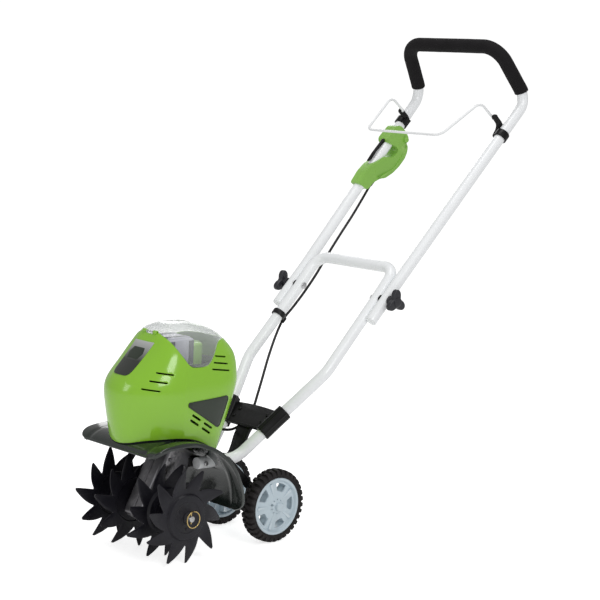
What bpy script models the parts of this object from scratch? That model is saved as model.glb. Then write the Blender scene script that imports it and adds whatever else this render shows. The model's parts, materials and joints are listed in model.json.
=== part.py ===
"""Battery tiller: a small walk-behind cultivator with four star tines.

A clear-lidded battery bay and a leaning motor sit in the green housing. The motor's worm turns a
worm wheel on the tine shaft. White tube handles fold at two knobs, and a pair of small wheels on
a swinging yoke sets the working depth.

Frame: metres, +Z up, the front of the machine faces -Y, +X is the operator's left.
Run with: blender --background --python part.py
"""
import math

import bmesh
import bpy
from mathutils import Matrix, Vector

# ---------------------------------------------------------------- driving dimensions
LENGTH_CENTRE = 0.4217      # tine shaft to the middle of the overall length
TIP_RADIUS = 0.1022         # tine tips
TOOTH_COUNT = 10
TOOTH_PHASE = 6.0           # degrees, lowest tooth past straight down
SHAFT_Z = TIP_RADIUS * math.cos(math.radians(TOOTH_PHASE))
ROOT_RADIUS = 0.060         # circle that the teeth grow from
BOSS_RADIUS = 0.0485        # raised round boss of each tine
TINE_X = (0.052, 0.118)     # inner and outer tine planes
TOOTH_BEND = 0.008          # how far alternate tips stand out of the tine's plane
TINE_SHEET = 0.0035
SHAFT_RADIUS = 0.0065
SHAFT_END = 0.1405
PIN_X = 0.1365

LEAN = math.radians(27.0)   # gear case and motor lean back by this much
WORM_OFFSET = 0.0252        # worm axis ahead of the shaft axis
WHEEL_TEETH = 32
GEAR_MODULE = 0.0012
CASE_HALF_WIDTH = 0.030
CASE_HALF_DEPTH = 0.038
CASE_WALL = 0.003
CASE_TOP = 0.143
MOTOR_RADIUS = 0.032

TUBE_RADIUS = 0.0127        # 25.4 mm handle tube
TUBE_WALL = 0.0014
FOAM_RADIUS = 0.0165
WIRE_RADIUS = 0.003
CABLE_RADIUS = 0.003
GAP = 0.0003                # clearance between touching pieces
FOLD = Vector((0.0, 0.5245, 0.5250))      # axis of the handle fold, along X
BAIL = Vector((0.0, 0.862, 0.935))        # axis of the bail, along X
UPPER_X = 0.1512            # upper tube at the fold
LOWER_X = 0.1245            # lower tube at the fold

WHEEL_AXIS = Vector((0.0, 0.273, 0.0805))
TYRE_RADIUS = 0.0805
RIM_RADIUS = 0.0632
WHEEL_X = 0.086             # middle of the tyre
TYRE_HALF_WIDTH = 0.0175
YOKE_PIVOT = Vector((0.0, 0.158, 0.1878))
LEG_BOLT = Vector((0.0, 0.100, 0.1888))
LEG_X = 0.045               # lower legs where they run level under the housing
YOKE_X = 0.0600

HOUSING_WALL = 0.003
LID_AXIS = Vector((0.0, -0.0152, 0.4708))
GUARD_HALF_WIDTH = 0.130
GUARD_WALL = 0.0025
GUARD_LIP = 0.009

# Housing cross-sections: height, half width, front y, middle y, rear y, front roundness (2 is
# an ellipse, more is squarer). The rear is squarer than the front all the way up.
HOUSING_LEVELS = (
    (0.204, 0.0920, -0.084, 0.020, 0.118, 2.0),
    (0.260, 0.0960, -0.093, 0.020, 0.136, 2.0),
    (0.310, 0.1010, -0.103, 0.021, 0.153, 2.0),
    (0.352, 0.1020, -0.107, 0.022, 0.168, 2.1),
    (0.376, 0.0995, -0.099, 0.024, 0.173, 2.1),
    (0.420, 0.0880, -0.057, 0.030, 0.170, 2.2),
    (0.444, 0.0750, -0.034, 0.033, 0.156, 2.6),
    (0.464, 0.0590, -0.019, 0.035, 0.135, 3.1),
    (0.478, 0.0420, -0.006, 0.038, 0.110, 3.3),
    (0.487, 0.0220, 0.010, 0.044, 0.080, 3.0),
)
REAR_SQUARENESS = 4.4
HOUSING_SIDES = 28

# Side view of the tine guard's upper surface: y, z.
GUARD_PROFILE = (
    (-0.0965, 0.2350), (-0.0865, 0.2455), (-0.0660, 0.2545), (-0.0300, 0.2585),
    (0.0000, 0.2580), (0.0300, 0.2530), (0.0600, 0.2420), (0.0870, 0.2270),
    (0.1120, 0.2060), (0.1340, 0.1760), (0.1480, 0.1420), (0.1535, 0.1080),
    (0.1510, 0.0910),
)

# Side view of the clear lid's edge where it meets the housing: y, z.
LID_EDGE = (
    (-0.0145, 0.560), (-0.0145, 0.4700), (0.0040, 0.4320), (0.0150, 0.4130), (0.0230, 0.4065),
    (0.0340, 0.4045), (0.0560, 0.4045), (0.0680, 0.4070), (0.0770, 0.4130), (0.1060, 0.4450),
    (0.1160, 0.4515), (0.1300, 0.4535), (0.2300, 0.4535), (0.2300, 0.560),
)

CABLE_ROUTE = (
    (-0.1555, 0.7480, 0.7190), (-0.1480, 0.7100, 0.6810), (-0.1420, 0.6650, 0.6360),
    (-0.1360, 0.6200, 0.5890), (-0.1300, 0.5820, 0.5480), (-0.1260, 0.5420, 0.5080),
    (-0.1245, 0.5080, 0.4760), (-0.1245, 0.4761, 0.4462), (-0.1120, 0.4440, 0.4140),
    (-0.0840, 0.3980, 0.3720), (-0.0540, 0.3540, 0.3300), (-0.0310, 0.3200, 0.2980),
    (-0.0275, 0.3085, 0.2760), (-0.0265, 0.2960, 0.2570), (-0.0265, 0.2740, 0.2400),
    (-0.0250, 0.2420, 0.2310), (-0.0180, 0.2000, 0.2390), (-0.0100, 0.1560, 0.2590),
    (-0.0100, 0.1180, 0.2640),
)
CABLE_SPLIT = 3             # the point of that route just above the fold, clear of its swing
CABLE_CLIP = 7              # the point held by the clip

# ---------------------------------------------------------------- scene and materials
for old in list(bpy.data.objects):
    bpy.data.objects.remove(old, do_unlink=True)

PARTS = bpy.data.collections.new("battery_tiller")
CUTTERS = bpy.data.collections.new("cutters")
bpy.context.scene.collection.children.link(PARTS)
bpy.context.scene.collection.children.link(CUTTERS)


def material(name, colour, roughness, metallic=0.0, alpha=1.0):
    made = bpy.data.materials.new(name)
    made.use_nodes = True
    shader = made.node_tree.nodes["Principled BSDF"]
    shader.inputs["Base Color"].default_value = (*colour, 1.0)
    shader.inputs["Roughness"].default_value = roughness
    shader.inputs["Metallic"].default_value = metallic
    shader.inputs["Alpha"].default_value = alpha
    made.diffuse_color = (*colour, alpha)
    return made


GREEN = material("green_plastic", (0.24, 0.49, 0.045), 0.22)
DARK_PLASTIC = material("guard_plastic", (0.045, 0.06, 0.052), 0.15)
BLACK_PLASTIC = material("black_plastic", (0.012, 0.012, 0.013), 0.4)
CLEAR = material("clear_plastic", (0.85, 0.9, 0.88), 0.06, 0.0, 0.35)
BADGE = material("badge_plate", (0.05, 0.06, 0.045), 0.35)
LABEL = material("label_plate", (0.32, 0.33, 0.33), 0.3)
WHITE_TUBE = material("white_paint", (0.82, 0.84, 0.87), 0.28)
WHITE_WIRE = material("white_wire", (0.8, 0.82, 0.83), 0.35)
FOAM = material("foam", (0.012, 0.011, 0.012), 0.85)
TINE_PAINT = material("tine_paint", (0.02, 0.02, 0.028), 0.42, 0.3)
CAST = material("cast_alloy", (0.42, 0.41, 0.43), 0.32, 0.9)
STEEL = material("zinc_steel", (0.55, 0.55, 0.56), 0.3, 1.0)
GOLD = material("yellow_zinc", (0.6, 0.44, 0.16), 0.3, 1.0)
BRONZE = material("bronze", (0.55, 0.33, 0.12), 0.35, 1.0)
TYRE = material("tyre_rubber", (0.018, 0.016, 0.017), 0.8)
RIM = material("rim_plastic", (0.5, 0.62, 0.72), 0.35)
PACK = material("battery_case", (0.5, 0.5, 0.56), 0.3)
COPPER = material("copper_windings", (0.5, 0.22, 0.1), 0.35, 0.9)

MACHINE = bpy.data.objects.new("machine", None)
PARTS.objects.link(MACHINE)


def pivot(name, place, parent=None):
    """An empty on a joint's axis; what turns there is parented to it."""
    made = bpy.data.objects.new(name, None)
    PARTS.objects.link(made)
    made.parent = parent or MACHINE
    made.location = Vector(place) - (parent.location if parent else Vector())
    return made


SHAFT = Vector((0.0, 0.0, SHAFT_Z))
UP_LEAN = Vector((0.0, math.sin(LEAN), math.cos(LEAN)))       # up along the leaning gear case
BACK_LEAN = Vector((0.0, math.cos(LEAN), -math.sin(LEAN)))    # out of its rear face


def leaning(up, back, x=0.0):
    """A point in the gear case's frame: up along the lean, back across it."""
    return SHAFT + UP_LEAN * up + BACK_LEAN * back + Vector((x, 0.0, 0.0))


TINE_PIVOT = pivot("tine_axis", SHAFT)
ROTOR_PIVOT = pivot("rotor_axis", leaning(0.0, -WORM_OFFSET))
YOKE_EMPTY = pivot("yoke_axis", YOKE_PIVOT)
WHEEL_EMPTIES = {side: pivot("wheel_axis_" + side, WHEEL_AXIS, YOKE_EMPTY)
                 for side in ("left", "right")}
LID_EMPTY = pivot("lid_axis", LID_AXIS)
FOLD_EMPTY = pivot("fold_axis", FOLD)
BAIL_EMPTY = pivot("bail_axis", BAIL, FOLD_EMPTY)
KNOB_EMPTIES = {side: pivot("knob_axis_" + side, FOLD, FOLD_EMPTY) for side in ("left", "right")}
SIDES = (("left", 1.0), ("right", -1.0))


# ---------------------------------------------------------------- modelling helpers
def adopt(obj, parent):
    """Parent an object modelled in the machine's frame, keeping it where it is."""
    holder = parent or MACHINE
    obj.parent = holder
    offset = Vector()
    while holder is not None and holder is not MACHINE:
        offset += holder.location
        holder = holder.parent
    obj.location = obj.location - offset
    return obj


def finish(obj, mat, parent=None, smooth=None):
    """Give a part its material and parent; smooth is the sharp-edge angle in degrees."""
    obj.data.materials.clear()
    obj.data.materials.append(mat)
    adopt(obj, parent)
    if smooth is not None and obj.type == "MESH":
        obj.data.shade_smooth()
        obj.data.set_sharp_from_angle(angle=math.radians(smooth))
    return obj


def add_mesh(name, work, place=Matrix.Identity(4), collection=None):
    data = bpy.data.meshes.new(name)
    bmesh.ops.recalc_face_normals(work, faces=work.faces[:])
    work.to_mesh(data)
    work.free()
    obj = bpy.data.objects.new(name, data)
    (collection or PARTS).objects.link(obj)
    obj.matrix_local = place
    return obj


def box(name, low, high, place=Matrix.Identity(4), collection=None):
    """A block between two corners in the frame of place."""
    work = bmesh.new()
    bmesh.ops.create_cube(work, size=1.0)
    low, high = Vector(low), Vector(high)
    middle, size = (low + high) / 2, high - low
    bmesh.ops.scale(work, vec=size, verts=work.verts)
    bmesh.ops.translate(work, vec=middle, verts=work.verts)
    return add_mesh(name, work, place, collection)


def along(start, end):
    """A matrix whose local Z runs from start to end, with its origin midway."""
    start, end = Vector(start), Vector(end)
    turn = (end - start).to_track_quat("Z", "Y").to_matrix().to_4x4()
    return Matrix.Translation((start + end) / 2) @ turn


def rod(name, start, end, radius, sides=20, end_radius=None, collection=None):
    """A round bar, or a taper, between two points."""
    work = bmesh.new()
    length = (Vector(end) - Vector(start)).length
    tip = radius if end_radius is None else end_radius
    bmesh.ops.create_cone(work, cap_ends=True, segments=sides, radius1=radius, radius2=tip,
                          depth=length)
    return add_mesh(name, work, along(start, end), collection)


def snug(radius, sides):
    """Radius of a many-sided bore that clears a bar of the given radius all round."""
    return (radius + GAP) / math.cos(math.pi / sides)


def cut(target, tool, operation="DIFFERENCE"):
    """Cut a part with a tool, or join the tool to it, and keep the tool as a hidden cutter."""
    step = target.modifiers.new("cut", "BOOLEAN")
    step.operation = operation
    step.object = tool
    step.solver = "EXACT"
    if tool.name not in CUTTERS.objects:
        for holder in list(tool.users_collection):
            holder.objects.unlink(tool)
        CUTTERS.objects.link(tool)
    adopt(tool, None)
    tool.hide_render = True
    tool.display_type = "WIRE"
    return target


def join(target, tool):
    return cut(target, tool, "UNION")


def turned(name, outline, place, steps=24, bored=False):
    """A turned shape: outline is (radius, height) from the top down its outer side."""
    work = bmesh.new()
    verts = [work.verts.new((radius, 0.0, height)) for radius, height in outline]
    for first, second in zip(verts, verts[1:]):
        work.edges.new((first, second))
    if bored:
        work.edges.new((verts[-1], verts[0]))
    data = bpy.data.meshes.new(name)
    work.to_mesh(data)
    work.free()
    obj = bpy.data.objects.new(name, data)
    PARTS.objects.link(obj)
    obj.matrix_local = place
    spin = obj.modifiers.new("turn", "SCREW")
    spin.steps = steps
    spin.render_steps = steps
    spin.use_merge_vertices = True
    spin.merge_threshold = 0.00005
    return obj


def rounded(points, radii, step_angle=20.0):
    """A path through points with each inner corner rounded by an arc of its radius."""
    points = [Vector(p) for p in points]
    path = [points[0]]
    for before, corner, after, radius in zip(points, points[1:], points[2:], radii):
        back = (before - corner).normalized()
        ahead = (after - corner).normalized()
        half = back.angle(ahead) / 2
        reach = radius / math.tan(half)
        centre = corner + (back + ahead).normalized() * (radius / math.sin(half))
        start = corner + back * reach
        end = corner + ahead * reach
        first, last = start - centre, end - centre
        sweep = first.angle(last)
        steps = max(1, math.ceil(math.degrees(sweep) / step_angle))
        for step in range(steps + 1):
            share = step / steps
            weight_a = math.sin((1 - share) * sweep) / math.sin(sweep)
            weight_b = math.sin(share * sweep) / math.sin(sweep)
            path.append(centre + first * weight_a + last * weight_b)
    path.append(points[-1])
    return path


def smooth_route(points, steps=3):
    """A Catmull-Rom curve through hand-placed points."""
    points = [Vector(p) for p in points]
    padded = [2 * points[0] - points[1], *points, 2 * points[-1] - points[-2]]
    route = []
    for a, b, c, d in zip(padded, padded[1:], padded[2:], padded[3:]):
        for step in range(steps):
            t = step / steps
            route.append(0.5 * ((2 * b) + (c - a) * t + (2 * a - 5 * b + 4 * c - d) * t ** 2
                                + (3 * b - a - 3 * c + d) * t ** 3))
    route.append(points[-1])
    return route


def tube(name, path, radius, resolution=3, caps=True):
    """A round bar swept along a path, as a curve object."""
    data = bpy.data.curves.new(name, "CURVE")
    data.dimensions = "3D"
    data.bevel_depth = radius
    data.bevel_resolution = resolution
    data.use_fill_caps = caps
    spline = data.splines.new("POLY")
    spline.points.add(len(path) - 1)
    for point, place in zip(spline.points, path):
        point.co = (*place, 1.0)
    obj = bpy.data.objects.new(name, data)
    PARTS.objects.link(obj)
    return obj


def as_mesh(obj):
    """Turn a curve object into a welded mesh object of the same name."""
    bpy.context.view_layer.update()
    depsgraph = bpy.context.evaluated_depsgraph_get()
    data = bpy.data.meshes.new_from_object(obj.evaluated_get(depsgraph))
    work = bmesh.new()
    work.from_mesh(data)
    bmesh.ops.remove_doubles(work, verts=work.verts[:], dist=0.00001)
    bmesh.ops.recalc_face_normals(work, faces=work.faces[:])
    work.to_mesh(data)
    work.free()
    name, place = obj.name, obj.matrix_world.copy()
    holders = list(obj.users_collection)
    bpy.data.objects.remove(obj, do_unlink=True)
    made = bpy.data.objects.new(name, data)
    for holder in holders:
        holder.objects.link(made)
    made.matrix_local = place
    return made


def plate(name, outline, thickness, place, collection=None):
    """A flat outline, (x, y) in the frame of place, thickened evenly about that plane."""
    data = bpy.data.curves.new(name, "CURVE")
    data.dimensions = "2D"
    data.fill_mode = "BOTH"
    data.extrude = thickness / 2
    spline = data.splines.new("POLY")
    spline.points.add(len(outline) - 1)
    for point, (across, up) in zip(spline.points, outline):
        point.co = (across, up, 0.0, 1.0)
    spline.use_cyclic_u = True
    obj = bpy.data.objects.new(name, data)
    (collection or PARTS).objects.link(obj)
    made = as_mesh(obj)
    made.matrix_local = place
    return made


def arc(centre, radius, start, end, steps):
    """Points on an arc, angles in degrees."""
    angles = [math.radians(start + (end - start) * k / steps) for k in range(steps + 1)]
    return [(centre[0] + radius * math.cos(a), centre[1] + radius * math.sin(a)) for a in angles]


def frame_of(origin, across, up):
    """A matrix with the given origin, local X along across and local Y near up."""
    x_axis = Vector(across).normalized()
    z_axis = x_axis.cross(Vector(up)).normalized()
    y_axis = z_axis.cross(x_axis)
    turn = Matrix((x_axis, y_axis, z_axis)).transposed().to_4x4()
    return Matrix.Translation(Vector(origin)) @ turn


ACROSS_X = Vector((1.0, 0.0, 0.0))
SIDE_VIEW = frame_of((0, 0, 0), (0, 1, 0), (0, 0, 1))         # local (x, y) is machine (y, z)


def x_axis_at(place, x=0.0):
    """Local Z along machine +X, origin on the axis at place."""
    return Matrix.Translation(Vector((x, place[1], place[2]))) @ Matrix.Rotation(
        math.radians(90), 4, "Y")


def prism(name, outline, half_width, collection=None):
    """A side-view outline (y, z) extruded across the machine."""
    return plate(name, outline, 2 * half_width, SIDE_VIEW, collection)


def screw(name, head, direction, length, radius=0.002, head_radius=0.0042, head_height=0.0028,
          sides=10):
    """A pan-head screw; head is the point under the head, direction the way the shank runs."""
    down = Vector(direction).normalized()
    start = Vector(head)
    outline = [(0.0, head_height), (head_radius * 0.75, head_height * 0.92),
               (head_radius, head_height * 0.4), (head_radius, 0.0), (radius, 0.0),
               (radius, -length), (0.0, -length)]
    turn = (-down).to_track_quat("Z", "Y").to_matrix().to_4x4()
    return turned(name, outline, Matrix.Translation(start) @ turn, sides)


# ---------------------------------------------------------------- housing, lid and badges
def housing_ring(level):
    """One cross-section as points from the front round by the left side."""
    height, half, front, middle, rear, squareness = level
    ring = []
    for step in range(HOUSING_SIDES):
        angle = 2 * math.pi * step / HOUSING_SIDES
        sine, cosine = math.sin(angle), math.cos(angle)
        power = squareness if cosine > 0 else REAR_SQUARENESS
        across = math.copysign(abs(sine) ** (2 / power), sine) * half
        reach = (middle - front) if cosine > 0 else (rear - middle)
        ahead = math.copysign(abs(cosine) ** (2 / power), cosine) * reach
        ring.append(Vector((across, middle - ahead, height)))
    return ring


def housing_skin(name):
    """The whole outer form of the housing and lid as a shell open at the bottom."""
    work = bmesh.new()
    rings = [[work.verts.new(p) for p in housing_ring(level)] for level in HOUSING_LEVELS]
    for lower, upper in zip(rings, rings[1:]):
        for step in range(HOUSING_SIDES):
            after = (step + 1) % HOUSING_SIDES
            work.faces.new((lower[step], lower[after], upper[after], upper[step]))
    work.faces.new(rings[-1])
    skin = add_mesh(name, work)
    wall = skin.modifiers.new("wall", "SOLIDIFY")
    wall.thickness = HOUSING_WALL
    wall.offset = -1.0
    return skin


def guard_surface():
    """The guard's upper surface in side view."""
    return list(GUARD_PROFILE)


def guard_normal(points, index):
    before = points[max(index - 1, 0)]
    after = points[min(index + 1, len(points) - 1)]
    run = Vector((after[0] - before[0], after[1] - before[1])).normalized()
    return Vector((-run.y, run.x))


def offset_outline(points, distance):
    moved = []
    for index, point in enumerate(points):
        normal = guard_normal(points, index)
        moved.append((point[0] + normal.x * distance, point[1] + normal.y * distance))
    return moved


def lid_tool(name, shrink):
    """Prism inside the lid's edge, drawn in on every side by shrink."""
    outline = []
    centre = Vector((0.052, 0.62))
    for y, z in LID_EDGE:
        outline.append((y, z))
    if shrink:
        count = len(outline)
        moved = []
        for index in range(count):
            before = Vector(outline[index - 1])
            here = Vector(outline[index])
            after = Vector(outline[(index + 1) % count])
            inward_a = (here - before).normalized()
            inward_b = (after - here).normalized()
            normal = (Vector((-inward_a.y, inward_a.x)) + Vector((-inward_b.y, inward_b.x)))
            normal.normalize()
            if normal.dot(centre - here) < 0:
                normal = -normal
            moved.append(tuple(here + normal * shrink))
        outline = moved
    return prism(name, outline, 0.2, CUTTERS)


def make_housing():
    shell = housing_skin("motor_housing")
    under_guard = offset_outline(guard_surface(), GAP + 0.0012)
    floor = [*under_guard, (0.30, 0.0), (-0.30, 0.0), (-0.30, under_guard[0][1])]
    cut(shell, prism("housing_foot_cut", floor, 0.2, CUTTERS))
    cut(shell, lid_tool("housing_lid_cut", 0.0))
    clearance = rod("hinge_clearance", LID_AXIS + ACROSS_X * -0.0112,
                    LID_AXIS + ACROSS_X * 0.0112, 0.0049, 16, collection=CUTTERS)
    cut(shell, clearance)
    for side, sign in SIDES:
        lug = rod("housing_lug_" + side, LID_AXIS + ACROSS_X * sign * 0.0116,
                  LID_AXIS + ACROSS_X * sign * 0.0225, 0.0042, 16, collection=CUTTERS)
        join(shell, lug)
    cut(shell, rod("housing_pin_bore", LID_AXIS + ACROSS_X * -0.03, LID_AXIS + ACROSS_X * 0.03,
                   0.0018, 12, collection=CUTTERS))
    for tool in vent_tools():
        cut(shell, tool)
    gland = rod("cable_entry_cut", (-0.0100, 0.105, 0.2640), (-0.0100, 0.20, 0.2640),
                0.0068, 16, collection=CUTTERS)
    cut(shell, gland)
    return finish(shell, GREEN, smooth=35)


def vent_tools():
    """Side and rear-corner air slots, each a bar run through both side walls."""
    slots = []
    for row in range(3):
        slots.append((-0.0350 - 0.0155 * row, 0.3955 - 0.0158 * row, 0.0160, -8.0))
        slots.append((0.1045 - 0.0017 * row, 0.4220 - 0.0135 * row, 0.0155 + 0.0050 * row, -8.0))
    for row in range(2):
        for column in range(2):
            slots.append((0.0340 + 0.0340 * column - 0.0040 * row,
                          0.3020 - 0.0205 * column - 0.0105 * row, 0.0145, -31.0))
    tools = []
    for index, (y, z, half_length, tilt) in enumerate(slots):
        place = Matrix.Translation(Vector((0.0, y, z))) @ Matrix.Rotation(
            math.radians(tilt), 4, "X")
        tools.append(box(f"vent_{index}", (-0.2, -half_length, -0.0013),
                         (0.2, half_length, 0.0013), place, CUTTERS))
    return tools


def make_lid():
    lid = housing_skin("battery_lid")
    cut(lid, lid_tool("lid_edge_tool", 0.0012), "INTERSECT")
    for side, sign in SIDES:
        cut(lid, rod("lid_lug_clearance_" + side, LID_AXIS + ACROSS_X * sign * 0.0110,
                     LID_AXIS + ACROSS_X * sign * 0.0235, 0.0049, 16, collection=CUTTERS))
    knuckle = rod("lid_knuckle", LID_AXIS + ACROSS_X * -0.0104, LID_AXIS + ACROSS_X * 0.0104,
                  0.0042, 16, collection=CUTTERS)
    join(lid, knuckle)
    cut(lid, rod("lid_pin_bore", LID_AXIS + ACROSS_X * -0.03, LID_AXIS + ACROSS_X * 0.03,
                 0.0018, 12, collection=CUTTERS))
    lip = box("lid_lip", (-0.016, 0.1320, 0.4560), (0.016, 0.1580, 0.4600), collection=CUTTERS)
    join(lid, lip)
    finish(lid, CLEAR, LID_EMPTY, smooth=35)
    pin = rod("lid_hinge_pin", LID_AXIS + ACROSS_X * -0.0225, LID_AXIS + ACROSS_X * 0.0225,
              0.0014, 12)
    finish(pin, STEEL, smooth=35)


def make_badges():
    outline = [*arc((0.0150, 0.3305), 0.006, 120, 240, 3), *arc((0.0960, 0.2830), 0.008, 240, 345, 4),
               *arc((0.1130, 0.3330), 0.008, -10, 95, 4)]
    for side, sign in SIDES:
        plate_piece = badge_plate("side_badge_" + side, outline, sign)
        finish(plate_piece, BADGE, smooth=40)
    front = front_plate("front_label_plate")
    finish(front, LABEL, smooth=40)


def skin_point(y, z, sign):
    """A point of the housing's left (+1) or right (-1) side at a given y and z."""
    for lower, upper in zip(HOUSING_LEVELS, HOUSING_LEVELS[1:]):
        if lower[0] <= z <= upper[0]:
            share = (z - lower[0]) / (upper[0] - lower[0])
            level = [a + (b - a) * share for a, b in zip(lower, upper)]
            break
    height, half, front, middle, rear, squareness = level
    ahead = (middle - y) / (middle - front) if y < middle else (y - middle) / (rear - middle)
    power = squareness if y < middle else REAR_SQUARENESS
    return sign * half * (1 - min(abs(ahead), 1.0) ** power) ** (1 / power)


def badge_plate(name, outline, sign, stand=0.0017, thickness=0.0014):
    """A thin plate bent to the housing's side: a fan of triangles from its middle."""
    work = bmesh.new()
    layers = []
    middle_y = sum(y for y, z in outline) / len(outline)
    middle_z = sum(z for y, z in outline) / len(outline)
    for lift in (stand, stand + thickness):
        rows = []
        for share in (0.4, 0.7, 1.0):
            row = []
            for y, z in outline:
                at_y = middle_y + (y - middle_y) * share
                at_z = middle_z + (z - middle_z) * share
                row.append(work.verts.new((skin_point(at_y, at_z, sign) + sign * lift, at_y, at_z)))
            rows.append(row)
        centre = work.verts.new((skin_point(middle_y, middle_z, sign) + sign * lift,
                                 middle_y, middle_z))
        layers.append((rows, centre))
    count = len(outline)
    for rows, centre in layers:
        for k in range(count):
            after = (k + 1) % count
            work.faces.new((centre, rows[0][k], rows[0][after]))
            for inner, outer in zip(rows, rows[1:]):
                work.faces.new((inner[k], outer[k], outer[after], inner[after]))
    low, high = layers[0][0][-1], layers[1][0][-1]
    for k in range(count):
        after = (k + 1) % count
        work.faces.new((low[k], high[k], high[after], low[after]))
    return add_mesh(name, work)


def front_point(x, z):
    """The front face's y at a given x and z."""
    for lower, upper in zip(HOUSING_LEVELS, HOUSING_LEVELS[1:]):
        if lower[0] <= z <= upper[0]:
            share = (z - lower[0]) / (upper[0] - lower[0])
            level = [a + (b - a) * share for a, b in zip(lower, upper)]
            break
    height, half, front, middle, rear, squareness = level
    ahead = (1 - min(abs(x / half), 1.0) ** squareness) ** (1 / squareness)
    return middle - ahead * (middle - front)


def front_plate(name, half=0.0280, top=0.4500, bottom=0.3880, stand=0.0007, thickness=0.0018):
    """The label plate on the sloping front, with a rounded lower end."""
    rows = 7
    columns = 7
    work = bmesh.new()
    layers = []
    for lift in (stand, stand + thickness):
        grid = []
        for row in range(rows):
            share = row / (rows - 1)
            z = top + (bottom - top) * share
            narrow = 1.0 if share < 0.7 else math.sqrt(1 - ((share - 0.7) / 0.36) ** 2)
            line = []
            for column in range(columns):
                x = half * narrow * (2 * column / (columns - 1) - 1)
                normal = Vector((0.0, -0.72, 0.69))
                point = Vector((x, front_point(x, z), z)) + normal * lift
                line.append(work.verts.new(point))
            grid.append(line)
        layers.append(grid)
    for grid in layers:
        for row in range(rows - 1):
            for column in range(columns - 1):
                work.faces.new((grid[row][column], grid[row][column + 1],
                                grid[row + 1][column + 1], grid[row + 1][column]))
    border = [(0, c) for c in range(columns)] + [(r, columns - 1) for r in range(1, rows)]
    border += [(rows - 1, c) for c in range(columns - 2, -1, -1)]
    border += [(r, 0) for r in range(rows - 2, 0, -1)]
    for (r1, c1), (r2, c2) in zip(border, border[1:] + border[:1]):
        work.faces.new((layers[0][r1][c1], layers[0][r2][c2], layers[1][r2][c2], layers[1][r1][c1]))
    return add_mesh(name, work)


# ---------------------------------------------------------------- battery bay
def make_battery():
    """The deck under the lid with the battery's recess, the battery and its latch."""
    level = list(HOUSING_LEVELS[5])
    level[1:5] = [0.0890, -0.0675, 0.026, 0.1675]
    outline = [(point.x, point.y) for point in housing_ring(level)]
    bay = plate("battery_bay", outline, 0.003, Matrix.Translation(Vector((0, 0, 0.4000))))
    join(bay, box("bay_walls", (-0.0460, -0.0070, 0.3600), (0.0460, 0.1170, 0.3990),
                  collection=CUTTERS))
    cut(bay, box("bay_room", (-0.0435, -0.0045, 0.3625), (0.0435, 0.1145, 0.42),
                 collection=CUTTERS))
    finish(bay, BLACK_PLASTIC)
    block = box("terminal_block", (-0.020, 0.030, 0.3628), (0.020, 0.056, 0.3690))
    finish(block, BLACK_PLASTIC)
    pack = box("battery_pack", (-0.0400, 0.0040, 0.3700), (0.0400, 0.0720, 0.4560))
    edge = pack.modifiers.new("edges", "BEVEL")
    edge.width = 0.006
    edge.segments = 2
    finish(pack, PACK, smooth=40)
    latch = box("battery_latch", (-0.0340, 0.0728, 0.3700), (0.0340, 0.1040, 0.4440))
    edge = latch.modifiers.new("edges", "BEVEL")
    edge.width = 0.008
    edge.segments = 2
    finish(latch, GREEN, smooth=40)


# ---------------------------------------------------------------- tine guard
def make_guard():
    line = guard_surface()
    lip = offset_outline(line, -GUARD_LIP)
    work = bmesh.new()
    columns = []
    half = GUARD_HALF_WIDTH
    for x, points in ((-half, lip), (-half, line), (-0.045, line), (0.045, line), (half, line),
                      (half, lip)):
        columns.append([work.verts.new((x, y, z)) for y, z in points])
    for one, other in zip(columns, columns[1:]):
        for k in range(len(line) - 1):
            work.faces.new((one[k], other[k], other[k + 1], one[k + 1]))
    guard = add_mesh("tine_guard", work)
    wall = guard.modifiers.new("wall", "SOLIDIFY")
    wall.thickness = GUARD_WALL
    wall.offset = -1.0
    corner = frame_of(leaning(0.0, 0.0), ACROSS_X, BACK_LEAN)
    case_room = box("guard_case_room", (-0.0385, -0.0640, -0.22), (0.0385, 0.0410, 0.30),
                    corner, CUTTERS)
    cut(guard, case_room)
    for side, sign in SIDES:
        leg = rod("guard_leg_hole_" + side, (sign * 0.045, 0.09, 0.1885),
                  (sign * 0.045, 0.165, 0.1885), 0.0150, 20, collection=CUTTERS)
        cut(guard, leg)
    return finish(guard, DARK_PLASTIC, smooth=35)


# ---------------------------------------------------------------- gear case and motor
CASE_FRAME = frame_of(SHAFT, BACK_LEAN, UP_LEAN)      # local X back, local Y up the case


def case_outline(inset=0.0):
    """Side view of the gear case in its own frame: back, up."""
    depth = CASE_HALF_DEPTH - inset
    floor = -0.037 + inset
    top = CASE_TOP - inset
    return [(-depth, top), (-depth, floor), (depth * 0.45, floor), (depth, floor + 0.022),
            (depth, top)]


def case_ear():
    """Side view of the ears that the guard rests on: they follow its underside."""
    under = offset_outline(guard_surface(), -(GUARD_WALL + GAP))
    top = [p for p in under if 0.012 < p[0] < 0.062]
    return [*top, (top[-1][0] - 0.002, top[-1][1] - 0.012), (top[0][0] + 0.006, top[0][1] - 0.022)]


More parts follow.
